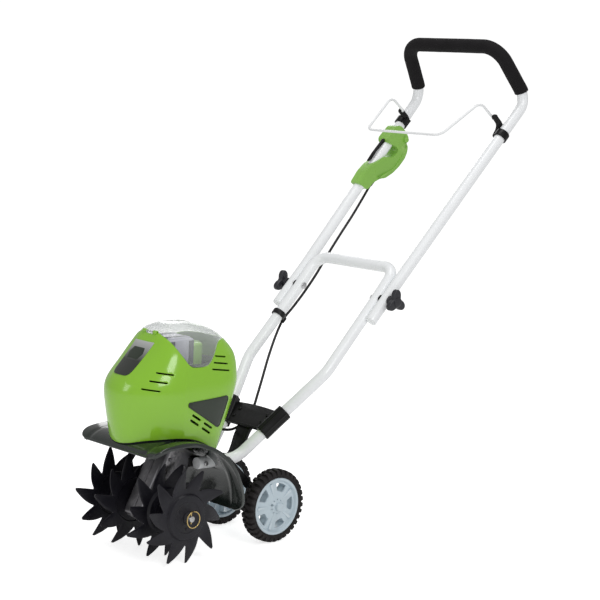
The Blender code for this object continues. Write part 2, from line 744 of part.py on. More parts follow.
def make_gear_case():
    for side, sign in SIDES:
        seam = sign * GAP / 2
        middle = (seam + sign * CASE_HALF_WIDTH) / 2
        width = abs(sign * CASE_HALF_WIDTH - seam)
        shift = Matrix.Translation(Vector((middle, 0, 0)))
        half = plate("gear_case_" + side, case_outline(), width, shift @ CASE_FRAME)
        lug = box("case_lug_" + side, (min(seam, sign * 0.0318), 0.076, 0.1788),
                  (max(seam, sign * 0.0318), 0.109, 0.1988), collection=CUTTERS)
        join(half, lug)
        ear = plate("case_ear_" + side, case_ear(), 0.022,
                    Matrix.Translation(Vector((sign * 0.039, 0, 0))) @ SIDE_VIEW, CUTTERS)
        join(half, ear)
        cut(half, rod("case_can_room_" + side, leaning(CASE_TOP, -WORM_OFFSET),
                      leaning(CASE_TOP + 0.1, -WORM_OFFSET), MOTOR_RADIUS + 0.0010, 22,
                      collection=CUTTERS))
        room = plate("case_room_" + side, case_outline(CASE_WALL),
                     2 * (CASE_HALF_WIDTH - CASE_WALL), CASE_FRAME, CUTTERS)
        cut(half, room)
        cut(half, rod("case_bearing_seat_" + side, SHAFT + ACROSS_X * sign * 0.0200,
                      SHAFT + ACROSS_X * sign * 0.0345, 0.0145, 18, collection=CUTTERS))
        cut(half, rod("case_motor_hole_" + side, leaning(0.13, -WORM_OFFSET),
                      leaning(0.15, -WORM_OFFSET), 0.0075, 20, collection=CUTTERS))
        cut(half, rod("case_leg_bolt_hole_" + side, LEG_BOLT - ACROSS_X * 0.05,
                      LEG_BOLT + ACROSS_X * 0.05, 0.0034, 14, collection=CUTTERS))
        finish(half, CAST, smooth=35)
        ring = [(0.0140, 0.004), (0.0140, -0.004), (0.0068, -0.004), (0.0068, 0.004)]
        bearing = turned("shaft_bearing_" + side, ring, x_axis_at(SHAFT, sign * 0.0255), 18, True)
        finish(bearing, STEEL, smooth=35)


def make_motor():
    low = CASE_TOP + GAP
    axis = along(leaning(low, -WORM_OFFSET), leaning(low + 0.088, -WORM_OFFSET))
    can = [(MOTOR_RADIUS, 0.044), (MOTOR_RADIUS, -0.044), (0.0072, -0.044), (0.0072, -0.040),
           (0.0295, -0.040), (0.0295, 0.044)]
    finish(turned("motor_can", can, axis, 22, True), STEEL, smooth=35)
    core = [(0.0215, 0.026), (0.0215, -0.026), (0.0044, -0.026), (0.0044, 0.026)]
    finish(turned("armature", core, axis, 20, True), COPPER, ROTOR_PIVOT, smooth=35)
    fan_axis = along(leaning(low + 0.090, -WORM_OFFSET), leaning(low + 0.099, -WORM_OFFSET))
    fan = [(0.0260, 0.0045), (0.0260, 0.0030), (0.0100, -0.0015), (0.0100, -0.0045),
           (0.0044, -0.0045), (0.0044, 0.0045)]
    finish(turned("cooling_fan", fan, fan_axis, 16, True), BLACK_PLASTIC, ROTOR_PIVOT, smooth=35)


def make_motor_shaft():
    """The motor shaft with its worm: one thread wound round a core, then a plain shaft."""
    pitch = math.pi * GEAR_MODULE
    around, per_turn, turns = 12, 4, 5
    radii = (0.0046, 0.0046, 0.0071, 0.0071)
    rises = (0.0, 0.42, 0.58, 0.84)
    length = pitch * (turns + 1)
    rows = per_turn * turns
    work = bmesh.new()
    columns = []
    for step in range(around):
        angle = 2 * math.pi * step / around
        column = []
        for k in range(rows + 1):
            rise = pitch * (k // per_turn + rises[k % per_turn] + step / around) - length / 2
            radius = radii[k % per_turn]
            column.append(work.verts.new((radius * math.cos(angle), radius * math.sin(angle),
                                          rise)))
        columns.append(column)
    for step in range(around - 1):
        for k in range(rows):
            work.faces.new((columns[step][k], columns[step + 1][k], columns[step + 1][k + 1],
                            columns[step][k + 1]))
    last, first = columns[-1], columns[0]
    for k in range(rows - per_turn):
        work.faces.new((last[k], first[k + per_turn], first[k + per_turn + 1], last[k + 1]))
    bottom = [column[0] for column in columns] + [first[k] for k in range(per_turn, 0, -1)]
    top = [column[rows] for column in columns]
    top += [last[k] for k in range(rows - 1, rows - per_turn - 1, -1)]
    angles = [360.0 * step / around for step in range(around)] + [342.0, 346.5, 351.0, 355.5]
    for ring, near, far in ((bottom, -length / 2 - 0.0020, -0.0300), (top, length / 2 + 0.002, 0.250)):
        for height in (near, far):
            circle = [work.verts.new((0.0041 * math.cos(math.radians(a)),
                                      0.0041 * math.sin(math.radians(a)), height)) for a in angles]
            for k in range(len(ring)):
                after = (k + 1) % len(ring)
                work.faces.new((ring[k], ring[after], circle[after], circle[k]))
            ring = circle
        work.faces.new(ring)
    turn = UP_LEAN.to_track_quat("Z", "Y").to_matrix().to_4x4()
    shaft = add_mesh("motor_shaft", work, Matrix.Translation(leaning(0.0, -WORM_OFFSET)) @ turn)
    return finish(shaft, STEEL, ROTOR_PIVOT, smooth=40)


WHEEL_SHIFT = 0.64          # brings a gap of the wheel onto the worm's thread at rest


def make_worm_wheel():
    pitch_radius = WHEEL_TEETH * GEAR_MODULE / 2
    tip, root = pitch_radius + 0.0009, pitch_radius - 0.0016
    half = 0.0045
    lead_angle = math.asin(GEAR_MODULE / 0.0119)
    twist = half * math.tan(lead_angle) / pitch_radius
    step = 2 * math.pi / WHEEL_TEETH
    work = bmesh.new()
    rings = []
    for x, turn in ((-half, -twist), (half, twist)):
        ring = []
        for tooth in range(WHEEL_TEETH):
            middle = step * (tooth + WHEEL_SHIFT) + turn
            for offset, radius in ((-0.26, root), (-0.14, tip), (0.14, tip), (0.26, root)):
                angle = middle + offset * step
                ring.append(work.verts.new((x, radius * math.cos(angle),
                                            radius * math.sin(angle))))
        rings.append(ring)
    count = len(rings[0])
    for k in range(count):
        after = (k + 1) % count
        work.faces.new((rings[0][k], rings[0][after], rings[1][after], rings[1][k]))
    work.faces.new(rings[0])
    work.faces.new(rings[1])
    wheel = add_mesh("worm_wheel", work, Matrix.Translation(SHAFT))
    cut(wheel, rod("worm_wheel_bore", SHAFT - ACROSS_X * 0.02, SHAFT + ACROSS_X * 0.02, 0.0068,
                   20, collection=CUTTERS))
    return finish(wheel, BRONZE, TINE_PIVOT, smooth=30)


# ---------------------------------------------------------------- tines
def tooth_side(radius, side):
    """Angle in degrees, from the tooth's tip, of its leading (-1) or trailing (+1) edge."""
    share = (TIP_RADIUS - radius) / (TIP_RADIUS - ROOT_RADIUS)
    if side < 0:
        return -1.0 - 2.0 * share
    return 2.2 + 28.8 * share ** 1.15


def make_tine(name, plane, outward, phase, hub_out, hub_in):
    """One star tine: a bossed disc with curved teeth bent alternately out of its plane."""
    per_tooth = 3
    work = bmesh.new()
    half = TINE_SHEET / 2
    count = TOOTH_COUNT * per_tooth
    angles = []
    for tooth in range(TOOTH_COUNT):
        start = tooth_side(ROOT_RADIUS, -1)
        end = tooth_side(ROOT_RADIUS, 1)
        for k in range(per_tooth):
            share = k / (per_tooth - 1)
            angles.append(math.radians(phase + 36.0 * tooth + start + (end - start) * share))

    def ring(radius, x):
        return [work.verts.new((x, radius * math.cos(a), radius * math.sin(a))) for a in angles]

    near = [ring(ROOT_RADIUS, half), ring(BOSS_RADIUS, half), ring(BOSS_RADIUS - 0.003, 0.0080),
            ring(0.0140, 0.0080), ring(0.0125, hub_out), ring(0.0068, hub_out)]
    far = [ring(ROOT_RADIUS, -half), ring(0.0140, -half), ring(0.0125, -hub_in),
           ring(0.0068, -hub_in)]
    loops = near + far[::-1]
    for one, other in zip(loops, loops[1:]):
        for k in range(count):
            after = (k + 1) % count
            work.faces.new((one[k], one[after], other[after], other[k]))
    stations = (0.0760, 0.0930)
    for tooth in range(TOOTH_COUNT):
        bend = TOOTH_BEND if tooth % 2 else -TOOTH_BEND
        layers = []
        for x, base in ((half, near[0]), (-half, far[0])):
            foot = base[tooth * per_tooth:(tooth + 1) * per_tooth]
            pairs = [(foot[0], foot[-1])]
            for radius in stations:
                lean = bend * ((radius - ROOT_RADIUS) / (TIP_RADIUS - ROOT_RADIUS)) ** 1.5
                pair = []
                for side in (-1, 1):
                    a = math.radians(phase + 36.0 * tooth + tooth_side(radius, side))
                    pair.append(work.verts.new((x + lean, radius * math.cos(a),
                                                radius * math.sin(a))))
                pairs.append(tuple(pair))
            a = math.radians(phase + 36.0 * tooth)
            tip = work.verts.new((x * 0.6 + bend, TIP_RADIUS * math.cos(a),
                                  TIP_RADIUS * math.sin(a)))
            layers.append((foot, pairs, tip))
        for foot, pairs, tip in layers:
            work.faces.new((*foot, pairs[1][1], pairs[1][0]))
            for low, high in zip(pairs[1:], pairs[2:]):
                work.faces.new((low[0], low[1], high[1], high[0]))
            work.faces.new((pairs[-1][0], pairs[-1][1], tip))
        (_, pairs_a, tip_a), (_, pairs_b, tip_b) = layers
        for side in (0, 1):
            line_a = [pair[side] for pair in pairs_a] + [tip_a]
            line_b = [pair[side] for pair in pairs_b] + [tip_b]
            for k in range(len(line_a) - 1):
                work.faces.new((line_a[k], line_b[k], line_b[k + 1], line_a[k + 1]))
        valley = ((tooth + 1) * per_tooth) % count
        end = tooth * per_tooth + per_tooth - 1
        work.faces.new((near[0][end], near[0][valley], far[0][valley], far[0][end]))
    place = Matrix.Translation(SHAFT + ACROSS_X * plane)
    if outward < 0:
        place = place @ Matrix.Scale(-1.0, 4, ACROSS_X)
    tine = add_mesh(name, work, Matrix.Identity(4))
    tine.data.transform(place)
    if outward < 0:
        tine.data.flip_normals()
    return finish(tine, TINE_PAINT, TINE_PIVOT, smooth=35)


def make_tine_shaft():
    shaft = rod("tine_shaft", SHAFT - ACROSS_X * SHAFT_END, SHAFT + ACROSS_X * SHAFT_END,
                SHAFT_RADIUS, 24)
    edge = shaft.modifiers.new("edges", "BEVEL")
    edge.width = 0.001
    edge.segments = 1
    edge.limit_method = "ANGLE"
    for side, sign in SIDES:
        hole = rod("shaft_pin_hole_" + side, SHAFT + Vector((sign * PIN_X, 0, -0.02)),
                   SHAFT + Vector((sign * PIN_X, 0, 0.02)), 0.0018, 12, collection=CUTTERS)
        cut(shaft, hole)
    finish(shaft, STEEL, TINE_PIVOT, smooth=35)
    for side, sign in SIDES:
        make_hitch_pin(side, sign)


def make_hitch_pin(side, sign):
    """A pin through the shaft's end, with the spring ring that holds it."""
    x = sign * PIN_X
    ring_x = sign * (PIN_X + 0.0075)
    path = [Vector((x, 0.0, -0.0110)), Vector((x, 0.0, 0.0105)), Vector((x, 0.0, 0.0150)),
            Vector((ring_x, 0.0, 0.0170))]
    turn = [Vector((ring_x, 0.0165 * math.sin(a), 0.0170 * math.cos(a)))
            for a in [math.radians(12 + 330 * k / 12) for k in range(13)]]
    pin = tube("hitch_pin_" + side, [p + SHAFT for p in path + turn], 0.0012, 1)
    return finish(pin, GOLD, TINE_PIVOT)


# ---------------------------------------------------------------- handles
def lower_handle_path():
    half = [(LEG_X, 0.0850, 0.1888), (LEG_X, 0.1985, 0.1865), (0.0735, 0.2720, 0.2590),
            (0.1260, 0.3760, 0.3695), (LOWER_X, 0.5245, 0.5255), (LOWER_X, 0.5810, 0.5900)]
    other = [(-x, y, z) for x, y, z in half]
    radii = (0.055, 0.200, 0.090, 0.500, 0.034, 0.034, 0.500, 0.090, 0.200, 0.055)
    return rounded(half + other[::-1], radii)


def upper_handle_path():
    half = [(UPPER_X, 0.4810, 0.4795), (UPPER_X, 0.5650, 0.5670), (0.168, 0.950, 0.9770),
            (0.1425, 0.863, 1.0970)]
    other = [(-x, y, z) for x, y, z in half]
    radii = (0.300, 0.040, 0.052, 0.052, 0.040, 0.300)
    return rounded(half + other[::-1], radii)


def hollow_tube(name, path):
    """A handle tube, open at both ends."""
    made = as_mesh(tube(name, path, TUBE_RADIUS, 3))
    first, last = path[0] - path[1], path[-1] - path[-2]
    bore = [path[0] + first.normalized() * 0.004, *path, path[-1] + last.normalized() * 0.004]
    cut(made, as_mesh(tube(name + "_bore", bore, TUBE_RADIUS - TUBE_WALL, 2)))
    return made


def make_handles():
    lower = hollow_tube("lower_handle", lower_handle_path())
    for title, place in (("fold", FOLD), ("yoke", YOKE_PIVOT), ("leg", LEG_BOLT)):
        cut(lower, rod("lower_hole_" + title, place - ACROSS_X * 0.16, place + ACROSS_X * 0.16,
                       0.0034, 10, collection=CUTTERS))
    finish(lower, WHITE_TUBE, smooth=50)
    upper = hollow_tube("upper_handle", upper_handle_path())
    cut(upper, rod("upper_hole", FOLD - ACROSS_X * 0.19, FOLD + ACROSS_X * 0.19, 0.0034, 14,
                   collection=CUTTERS))
    finish(upper, WHITE_TUBE, FOLD_EMPTY, smooth=50)


def grip_path():
    """The part of the upper handle's path that the foam covers."""
    return [point for point in upper_handle_path() if point.z > 0.9915]


def make_grip():
    foam = tube("foam_grip", grip_path(), FOAM_RADIUS, 4, caps=False)
    wall = foam.modifiers.new("wall", "SOLIDIFY")
    wall.thickness = FOAM_RADIUS * math.cos(math.pi / 12) - TUBE_RADIUS - GAP
    wall.offset = -1.0
    return finish(foam, FOAM, FOLD_EMPTY)


def knob_outline():
    """Three rounded lobes."""
    outline = []
    for k in range(30):
        angle = 2 * math.pi * k / 30
        radius = 0.0205 + 0.0075 * math.cos(3 * angle)
        outline.append((radius * math.cos(angle), radius * math.sin(angle)))
    return outline


def make_knobs():
    for side, sign in SIDES:
        empty = KNOB_EMPTIES[side]
        inner = sign * (UPPER_X + TUBE_RADIUS + 0.0008)
        head = sign * (UPPER_X + TUBE_RADIUS + 0.0120)
        lobes_middle = sign * (UPPER_X + TUBE_RADIUS + 0.0190)
        lobes = plate("fold_knob_" + side, knob_outline(), 0.0130,
                      frame_of(FOLD + ACROSS_X * lobes_middle, (0, 0, 1), (0, -1, 0)))
        stem = rod("knob_stem_" + side, FOLD + ACROSS_X * inner,
                   FOLD + ACROSS_X * (head + sign * 0.002), 0.0110, 20, collection=CUTTERS)
        join(lobes, stem)
        bore = rod("knob_bore_" + side, FOLD + ACROSS_X * (inner - sign * 0.004),
                   FOLD + ACROSS_X * (inner + sign * 0.0130), 0.0034, 14, collection=CUTTERS)
        cut(lobes, bore)
        finish(lobes, BLACK_PLASTIC, empty, smooth=35)
        bolt_tip = inner + sign * 0.0120
        bolt_head = sign * (LOWER_X - TUBE_RADIUS - 0.0006)
        length = abs(bolt_tip - bolt_head)
        bolt = screw("fold_bolt_" + side, FOLD + ACROSS_X * bolt_head, ACROSS_X * sign, length,
                     0.0030, 0.0075, 0.0035, 18)
        finish(bolt, STEEL, smooth=35)


# ---------------------------------------------------------------- bail
def make_bail():
    half = [(0.1490, 0.862, 0.935), (0.1410, 0.862, 0.935), (0.1405, 0.817, 0.9680),
            (0.1165, 0.712, 0.8895)]
    other = [(-x, y, z) for x, y, z in half]
    radii = (0.006, 0.018, 0.013, 0.013, 0.018, 0.006)
    wire = tube("bail", rounded(half + other[::-1], radii, 24.0), WIRE_RADIUS, 1)
    finish(wire, WHITE_WIRE, BAIL_EMPTY)
    for side, sign in SIDES:
        make_bail_bracket(side, sign)


def tube_axis(share, sign=1.0):
    """A point on an upper tube's straight run, share 0 at its foot and 1 at its head."""
    low, high = Vector((UPPER_X, 0.5650, 0.5670)), Vector((0.168, 0.950, 0.9770))
    point = low + (high - low) * share
    return Vector((point.x * sign, point.y, point.z))


def tube_frame(share, sign):
    """Frame on an upper tube: local X out of its rear side, local Y up along it."""
    run = (tube_axis(1.0, sign) - tube_axis(0.0, sign)).normalized()
    back = run.cross(ACROSS_X)
    return frame_of(tube_axis(share, sign), back if back.y > 0 else -back, run)


def make_bail_bracket(side, sign):
    """A clamp ring on the upper tube with an arm that reaches forward to the bail's end."""
    place = tube_frame(0.795 if sign > 0 else 0.830, sign)
    centre, run = place.translation, place.col[1].to_3d()
    bore = snug(TUBE_RADIUS, 14)
    ring = [(bore + 0.0034, 0.009), (bore + 0.0034, -0.009), (bore, -0.009), (bore, 0.009)]
    upright = Matrix.Translation(centre) @ run.to_track_quat("Z", "Y").to_matrix().to_4x4()
    bracket = turned("bail_bracket_" + side, ring, upright, 14, True)
    middle = 0.1492
    reach = place.inverted() @ (BAIL + ACROSS_X * sign * middle)
    arm = [(-0.0040, -0.0085), (-0.0150, -0.0085), (reach.x - 0.0045, reach.y - 0.0040),
           (reach.x - 0.0060, reach.y + 0.0020), (reach.x - 0.0030, reach.y + 0.0060),
           (reach.x + 0.0040, reach.y + 0.0060), (-0.0160, 0.0110), (-0.0040, 0.0085)]
    flat = frame_of(Vector((sign * middle, centre.y, centre.z)), place.col[0].to_3d(),
                    Vector((0.0, run.y, run.z)))
    join(bracket, plate("bail_arm_" + side, arm, 0.0060, flat, CUTTERS))
    cut(bracket, rod("bail_bracket_room_" + side, centre - run * 0.05, centre + run * 0.05,
                     bore, 14, collection=CUTTERS))
    cut(bracket, rod("bail_bore_" + side, BAIL + ACROSS_X * sign * 0.13,
                     BAIL + ACROSS_X * sign * 0.16, WIRE_RADIUS + 0.0006, 10, collection=CUTTERS))
    return finish(bracket, BLACK_PLASTIC, FOLD_EMPTY, smooth=35)


# ---------------------------------------------------------------- switch box
BOX_FRAME = tube_frame(0.615, -1.0)
BOX_HALF_WIDTH = 0.0178
# Side view of the box in its frame (back, up): a loop behind the tube with a collar at each end.
BOX_OUTLINE = (
    (-0.0175, -0.0980), (0.0178, -0.0880), (0.0205, -0.0620), (0.0300, -0.0400),
    (0.0410, -0.0280), (0.0520, 0.0000), (0.0570, 0.0260), (0.0580, 0.0520), (0.0550, 0.0720),
    (0.0480, 0.0830), (0.0370, 0.0860), (0.0370, 0.0930), (0.0330, 0.1010), (0.0150, 0.1040),
    (-0.0080, 0.1010), (-0.0190, 0.0910), (-0.0205, 0.0690), (-0.0205, 0.0470),
    (-0.0120, 0.0410), (0.0180, 0.0530), (0.0260, 0.0520), (0.0280, 0.0410), (0.0240, 0.0250),
    (0.0010, 0.0060), (-0.0140, -0.0330), (-0.0200, -0.0600),
)


def box_point(back, up, x=0.0):
    return BOX_FRAME @ Vector((back, up, 0.0)) + ACROSS_X * x


def box_flat(x):
    """The box's side-view plane, moved across by x."""
    return Matrix.Translation(ACROSS_X * x) @ BOX_FRAME


def make_switch_box():
    """A housing split along the tube, which it grips above and below its window."""
    for name, low, high in (("switch_box_inner", GAP / 2, BOX_HALF_WIDTH),
                            ("switch_box_outer", -BOX_HALF_WIDTH, -GAP / 2)):
        shell = plate(name, BOX_OUTLINE, high - low, box_flat((low + high) / 2))
        cut(shell, rod(name + "_tube_room", box_point(0, -0.14), box_point(0, 0.14),
                       snug(TUBE_RADIUS, 20), 20, collection=CUTTERS))
        cut(shell, rod(name + "_relief_hole", box_point(0.0285, -0.075), box_point(0.0285, -0.012),
                       0.0062, 16, collection=CUTTERS))
        hollow = ((0.0330, -0.0180), (0.0440, -0.0050), (0.0500, 0.0260), (0.0510, 0.0520),
                  (0.0470, 0.0720), (0.0350, 0.0720), (0.0350, 0.0300))
        cut(shell, plate(name + "_switch_room", hollow, 2 * (BOX_HALF_WIDTH - 0.0028), BOX_FRAME,
                         CUTTERS))
        if name == "switch_box_inner":
            cut(shell, rod("button_room", box_point(0.0270, 0.0880, -0.004),
                           box_point(0.0270, 0.0880, 0.03), 0.0073, 18, collection=CUTTERS))
        cut(shell, rod(name + "_lever_room", box_point(-0.0165, 0.0440, -0.0053),
                       box_point(-0.0165, 0.0440, 0.0053), 0.0046, 18, collection=CUTTERS))
        finish(shell, GREEN, FOLD_EMPTY, smooth=35)
    relief = rod("strain_relief", box_point(0.0285, -0.0640), box_point(0.0285, -0.0220), 0.0042,
                 16, 0.0058)
    cut(relief, rod("relief_bore", box_point(0.0285, -0.0700), box_point(0.0285, -0.0420),
                    snug(CABLE_RADIUS, 12), 12, collection=CUTTERS))
    finish(relief, BLACK_PLASTIC, FOLD_EMPTY, smooth=35)
    button = [(0.0, 0.0080), (0.0050, 0.0077), (0.0070, 0.0060), (0.0070, -0.0080), (0.0, -0.0080)]
    finish(turned("lock_button", button, x_axis_at(box_point(0.0270, 0.0880),
                                                   box_point(0, 0).x + 0.0130), 20),
           GREEN, BUTTON_EMPTY, smooth=35)
    lever = [(-0.0200, 0.0440), (-0.0188, 0.0470), (-0.0165, 0.0482), (-0.0142, 0.0470),
             (-0.0138, 0.0440), (-0.0180, 0.0050), (-0.0175, -0.0230), (-0.0190, -0.0290),
             (-0.0215, -0.0290), (-0.0225, -0.0050)]
    finish(plate("switch_lever", lever, 0.0090, BOX_FRAME), BLACK_PLASTIC, LEVER_EMPTY, smooth=35)


# ---------------------------------------------------------------- switch cable and its clip
def make_cables():
    leaving = [box_point(0.0285, up) for up in (-0.0430, -0.0560, -0.0700)]
    route = smooth_route([*leaving, *CABLE_ROUTE], steps=2)
    split = (CABLE_SPLIT + len(leaving)) * 2
    upper, lower = route[:split + 1], route[split:]
    joint_run = (lower[1] - lower[0]).normalized()
    lower[0] = lower[0] + joint_run * GAP
    upper_cable = tube("upper_cable", upper, CABLE_RADIUS, 2)
    finish(upper_cable, BLACK_PLASTIC, FOLD_EMPTY)
    lower_cable = tube("lower_cable", lower, CABLE_RADIUS, 2)
    finish(lower_cable, BLACK_PLASTIC)
    low, high = Vector((-0.1260, 0.3760, 0.3695)), Vector((-LOWER_X, 0.5245, 0.5255))
    run = (high - low).normalized()
    centre = low + (high - low) * 0.58
    upright = Matrix.Translation(centre) @ run.to_track_quat("Z", "Y").to_matrix().to_4x4()
    bore = snug(TUBE_RADIUS, 14)
    ring = [(bore + 0.0030, 0.0060), (bore + 0.0030, -0.0060), (bore, -0.0060), (bore, 0.0060)]
    clip = turned("cable_clip", ring, upright, 14, True)
    held = Vector(CABLE_ROUTE[CABLE_CLIP])
    ear = rod("clip_ear", held - run * 0.0060, held + run * 0.0060, 0.0060, 12, collection=CUTTERS)
    join(clip, ear)
    cut(clip, rod("clip_tube_room", centre - run * 0.03, centre + run * 0.03, bore, 14,
                  collection=CUTTERS))
    near = [point for point in route if (point - held).length < 0.030]
    cut(clip, as_mesh(tube("clip_cable_room", near, snug(CABLE_RADIUS, 8), 2)))
    finish(clip, BLACK_PLASTIC, smooth=35)


# ---------------------------------------------------------------- bracket between the legs
BRACKET_FRAME = frame_of((0.0, 0.2755, 0.2612), ACROSS_X, (0.0, 0.049, 0.036))


def make_bracket():
    """Moulded bracket: a plate between the legs with a collar round each, and its arm."""
    outline = [(-0.0850, 0.0300), (-0.0600, -0.0300), (0.0600, -0.0300), (0.0850, 0.0300)]
    bracket = plate("handle_bracket", outline, 0.0060, BRACKET_FRAME)
    low, high = Vector((LEG_X, 0.1985, 0.1865)), Vector((0.0735, 0.2720, 0.2590))
    top = Vector((0.1260, 0.3760, 0.3695))
    for side, sign in SIDES:
        flip = Vector((sign, 1.0, 1.0))
        start = high + (low - high) * 0.36
        end = high + (top - high) * 0.30
        for name, a, b in (("low", start, high), ("high", high, end)):
            collar = rod(f"collar_{name}_{side}", a * flip, b * flip, 0.0176, 12,
                         collection=CUTTERS)
            join(bracket, collar)
    cut(bracket, as_mesh(tube("bracket_leg_room", lower_handle_path(), snug(TUBE_RADIUS, 10), 3)))
    for side, sign in SIDES:
        for row, up in (("upper", 0.0110), ("lower", -0.0110)):
            head = BRACKET_FRAME @ Vector((sign * 0.045, up, 0.0030 + GAP))
            down = -BRACKET_FRAME.col[2].to_3d()
            cut(bracket, rod(f"bracket_hole_{row}_{side}", head - down * 0.01, head + down * 0.02,
                             0.0024, 8, collection=CUTTERS))
            finish(screw(f"bracket_screw_{row}_{side}", head, down, 0.0100), STEEL, smooth=35)
    finish(bracket, BLACK_PLASTIC, smooth=35)
    middle = [(0.0, 0.2700, 0.2470), (0.0, 0.2580, 0.2380), (0.0, 0.2470, 0.2190),
              (0.0, 0.2390, 0.1960), (0.0, 0.2290, 0.1800), (0.0, 0.2050, 0.1740),
              (0.0, 0.1640, 0.1850)]
    band = [(point.y, point.z) for point in smooth_route(middle, 2)]
    outline = offset_outline(band, 0.0026) + offset_outline(band, -0.0026)[::-1]
    arm = prism("support_arm", outline, 0.0200)
    join(arm, rod("arm_eye", YOKE_PIVOT - ACROSS_X * 0.0200, YOKE_PIVOT + ACROSS_X * 0.0200,
                  0.0080, 20, collection=CUTTERS))
    cut(arm, rod("arm_bore", YOKE_PIVOT - ACROSS_X * 0.03, YOKE_PIVOT + ACROSS_X * 0.03, 0.0034,
                 14, collection=CUTTERS))
    under = BRACKET_FRAME.copy()
    cut(arm, box("arm_top_cut", (-0.05, -0.05, -0.0033), (0.05, 0.06, 0.03), under, CUTTERS))
    finish(arm, BLACK_PLASTIC, smooth=35)
    for title, place, reach in (("leg_bolt", LEG_BOLT, 0.0590), ("yoke_bolt", YOKE_PIVOT, 0.0640)):
        outline = [(0.0, reach + 0.0030), (0.0050, reach + 0.0026), (0.0055, reach),
                   (0.0030, reach), (0.0030, -reach), (0.0055, -reach), (0.0055, -reach - 0.0045),
                   (0.0, -reach - 0.0045)]
        finish(turned(title, outline, x_axis_at(place), 12), STEEL, smooth=35)


# ---------------------------------------------------------------- wheels and their yoke
def capsule(start, end, radius, steps=5):
    """Outline of a bar with rounded ends, as (y, z) points."""
    run = Vector((end[0] - start[0], end[1] - start[1]))
    angle = math.degrees(math.atan2(run.y, run.x))
    return [*arc(start, radius, angle + 90, angle + 270, steps),
            *arc(end, radius, angle - 90, angle + 90, steps)]


def make_yoke():
    pivot_end = (YOKE_PIVOT.y, YOKE_PIVOT.z)
    axle_end = (WHEEL_AXIS.y, WHEEL_AXIS.z)
    outline = capsule(pivot_end, axle_end, 0.0100)
    left, right = (plate("wheel_yoke" if sign > 0 else "yoke_arm", outline, 0.0030,
                         Matrix.Translation(ACROSS_X * sign * YOKE_X) @ SIDE_VIEW,
                         None if sign > 0 else CUTTERS) for side, sign in SIDES)
    middle = (YOKE_PIVOT + WHEEL_AXIS) / 2
    join(left, rod("yoke_brace", middle - ACROSS_X * (YOKE_X + 0.0010),
                   middle + ACROSS_X * (YOKE_X + 0.0010), 0.0060, 12, collection=CUTTERS))
    join(left, right)
    for title, place, radius in (("pivot", YOKE_PIVOT, 0.0034), ("axle", WHEEL_AXIS, 0.0043)):
        cut(left, rod("yoke_bore_" + title, place - ACROSS_X * 0.08, place + ACROSS_X * 0.08,
                      radius, 12, collection=CUTTERS))
    finish(left, BLACK_PLASTIC, YOKE_EMPTY, smooth=35)
    end = 0.1060
    axle = [(0.0, end + 0.0040), (0.0050, end + 0.0034), (0.0070, end + 0.0014), (0.0070, end),
            (0.0040, end), (0.0040, -end), (0.0070, -end), (0.0070, -end - 0.0014),
            (0.0050, -end - 0.0034), (0.0, -end - 0.0040)]
    finish(turned("wheel_axle", axle, x_axis_at(WHEEL_AXIS), 12), STEEL, YOKE_EMPTY, smooth=35)


def make_wheel(side, sign):
    place = Matrix.Translation(Vector((sign * WHEEL_X, WHEEL_AXIS.y, WHEEL_AXIS.z)))
    place = place @ Matrix.Rotation(math.radians(90 * sign), 4, "Y")
    half = TYRE_HALF_WIDTH
    bead = snug(RIM_RADIUS, 28)
    tyre = [(TYRE_RADIUS - 0.0060, half), (TYRE_RADIUS - 0.0012, half * 0.62),
            (TYRE_RADIUS, half * 0.20), (TYRE_RADIUS, -half * 0.20),
            (TYRE_RADIUS - 0.0012, -half * 0.62), (TYRE_RADIUS - 0.0060, -half),
            (bead, -half + 0.0010), (bead, half - 0.0010)]
    finish(turned("tyre_" + side, tyre, place, 28, True), TYRE, WHEEL_EMPTIES[side], smooth=35)
    rim = [(RIM_RADIUS, 0.0155), (RIM_RADIUS, -0.0155), (0.0590, -0.0155), (0.0560, 0.0020),
           (0.0150, 0.0060), (0.0120, -0.0235), (0.0043, -0.0235), (0.0043, 0.0190),
           (0.0120, 0.0190), (0.0150, 0.0120), (0.0530, 0.0080), (0.0590, 0.0155)]
    disc = turned("rim_" + side, rim, place, 20, True)
    for spoke in range(5):
        turn = place @ Matrix.Rotation(math.radians(72 * spoke + 90), 4, "Z")
        window = [*arc((0, 0), 0.0290, -20, 20, 2), *arc((0, 0), 0.0520, 24, -24, 3)]
        tool = plate(f"rim_window_{side}_{spoke}", window, 0.06, turn, CUTTERS)
        cut(disc, tool)
    finish(disc, RIM, WHEEL_EMPTIES[side], smooth=35)


# ---------------------------------------------------------------- build
LEVER_EMPTY = pivot("lever_axis", box_point(-0.0165, 0.0440), FOLD_EMPTY)
BUTTON_EMPTY = pivot("button_axis", box_point(0.0270, 0.0880), FOLD_EMPTY)
make_housing()
make_lid()
make_badges()
make_battery()
make_guard()
make_gear_case()
make_motor()
make_motor_shaft()
make_worm_wheel()
make_tine_shaft()
for tine_side, tine_sign in SIDES:
    make_tine("tine_inner_" + tine_side, tine_sign * TINE_X[0], tine_sign, 270.0 + TOOTH_PHASE,
              0.0325, 0.0195)
    make_tine("tine_outer_" + tine_side, tine_sign * TINE_X[1], tine_sign, 270.0 + TOOTH_PHASE,
              0.0120, 0.0330)
make_handles()
make_grip()
make_knobs()
make_bail()
make_switch_box()
make_cables()
make_bracket()
make_yoke()
for wheel_side, wheel_sign in SIDES:
    make_wheel(wheel_side, wheel_sign)
MACHINE.location = (0.0, -LENGTH_CENTRE, 0.0)
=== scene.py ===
"""Looks of the battery tiller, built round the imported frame.

Every piece is modelled in the machine's own frame (metres, +Z up, the front towards -Y, the tine
shaft at y = 0) and moved to the frame's origin as it is dressed.
"""
import json
import math

import bmesh
import bpy
from mathutils import Matrix, Vector, noise


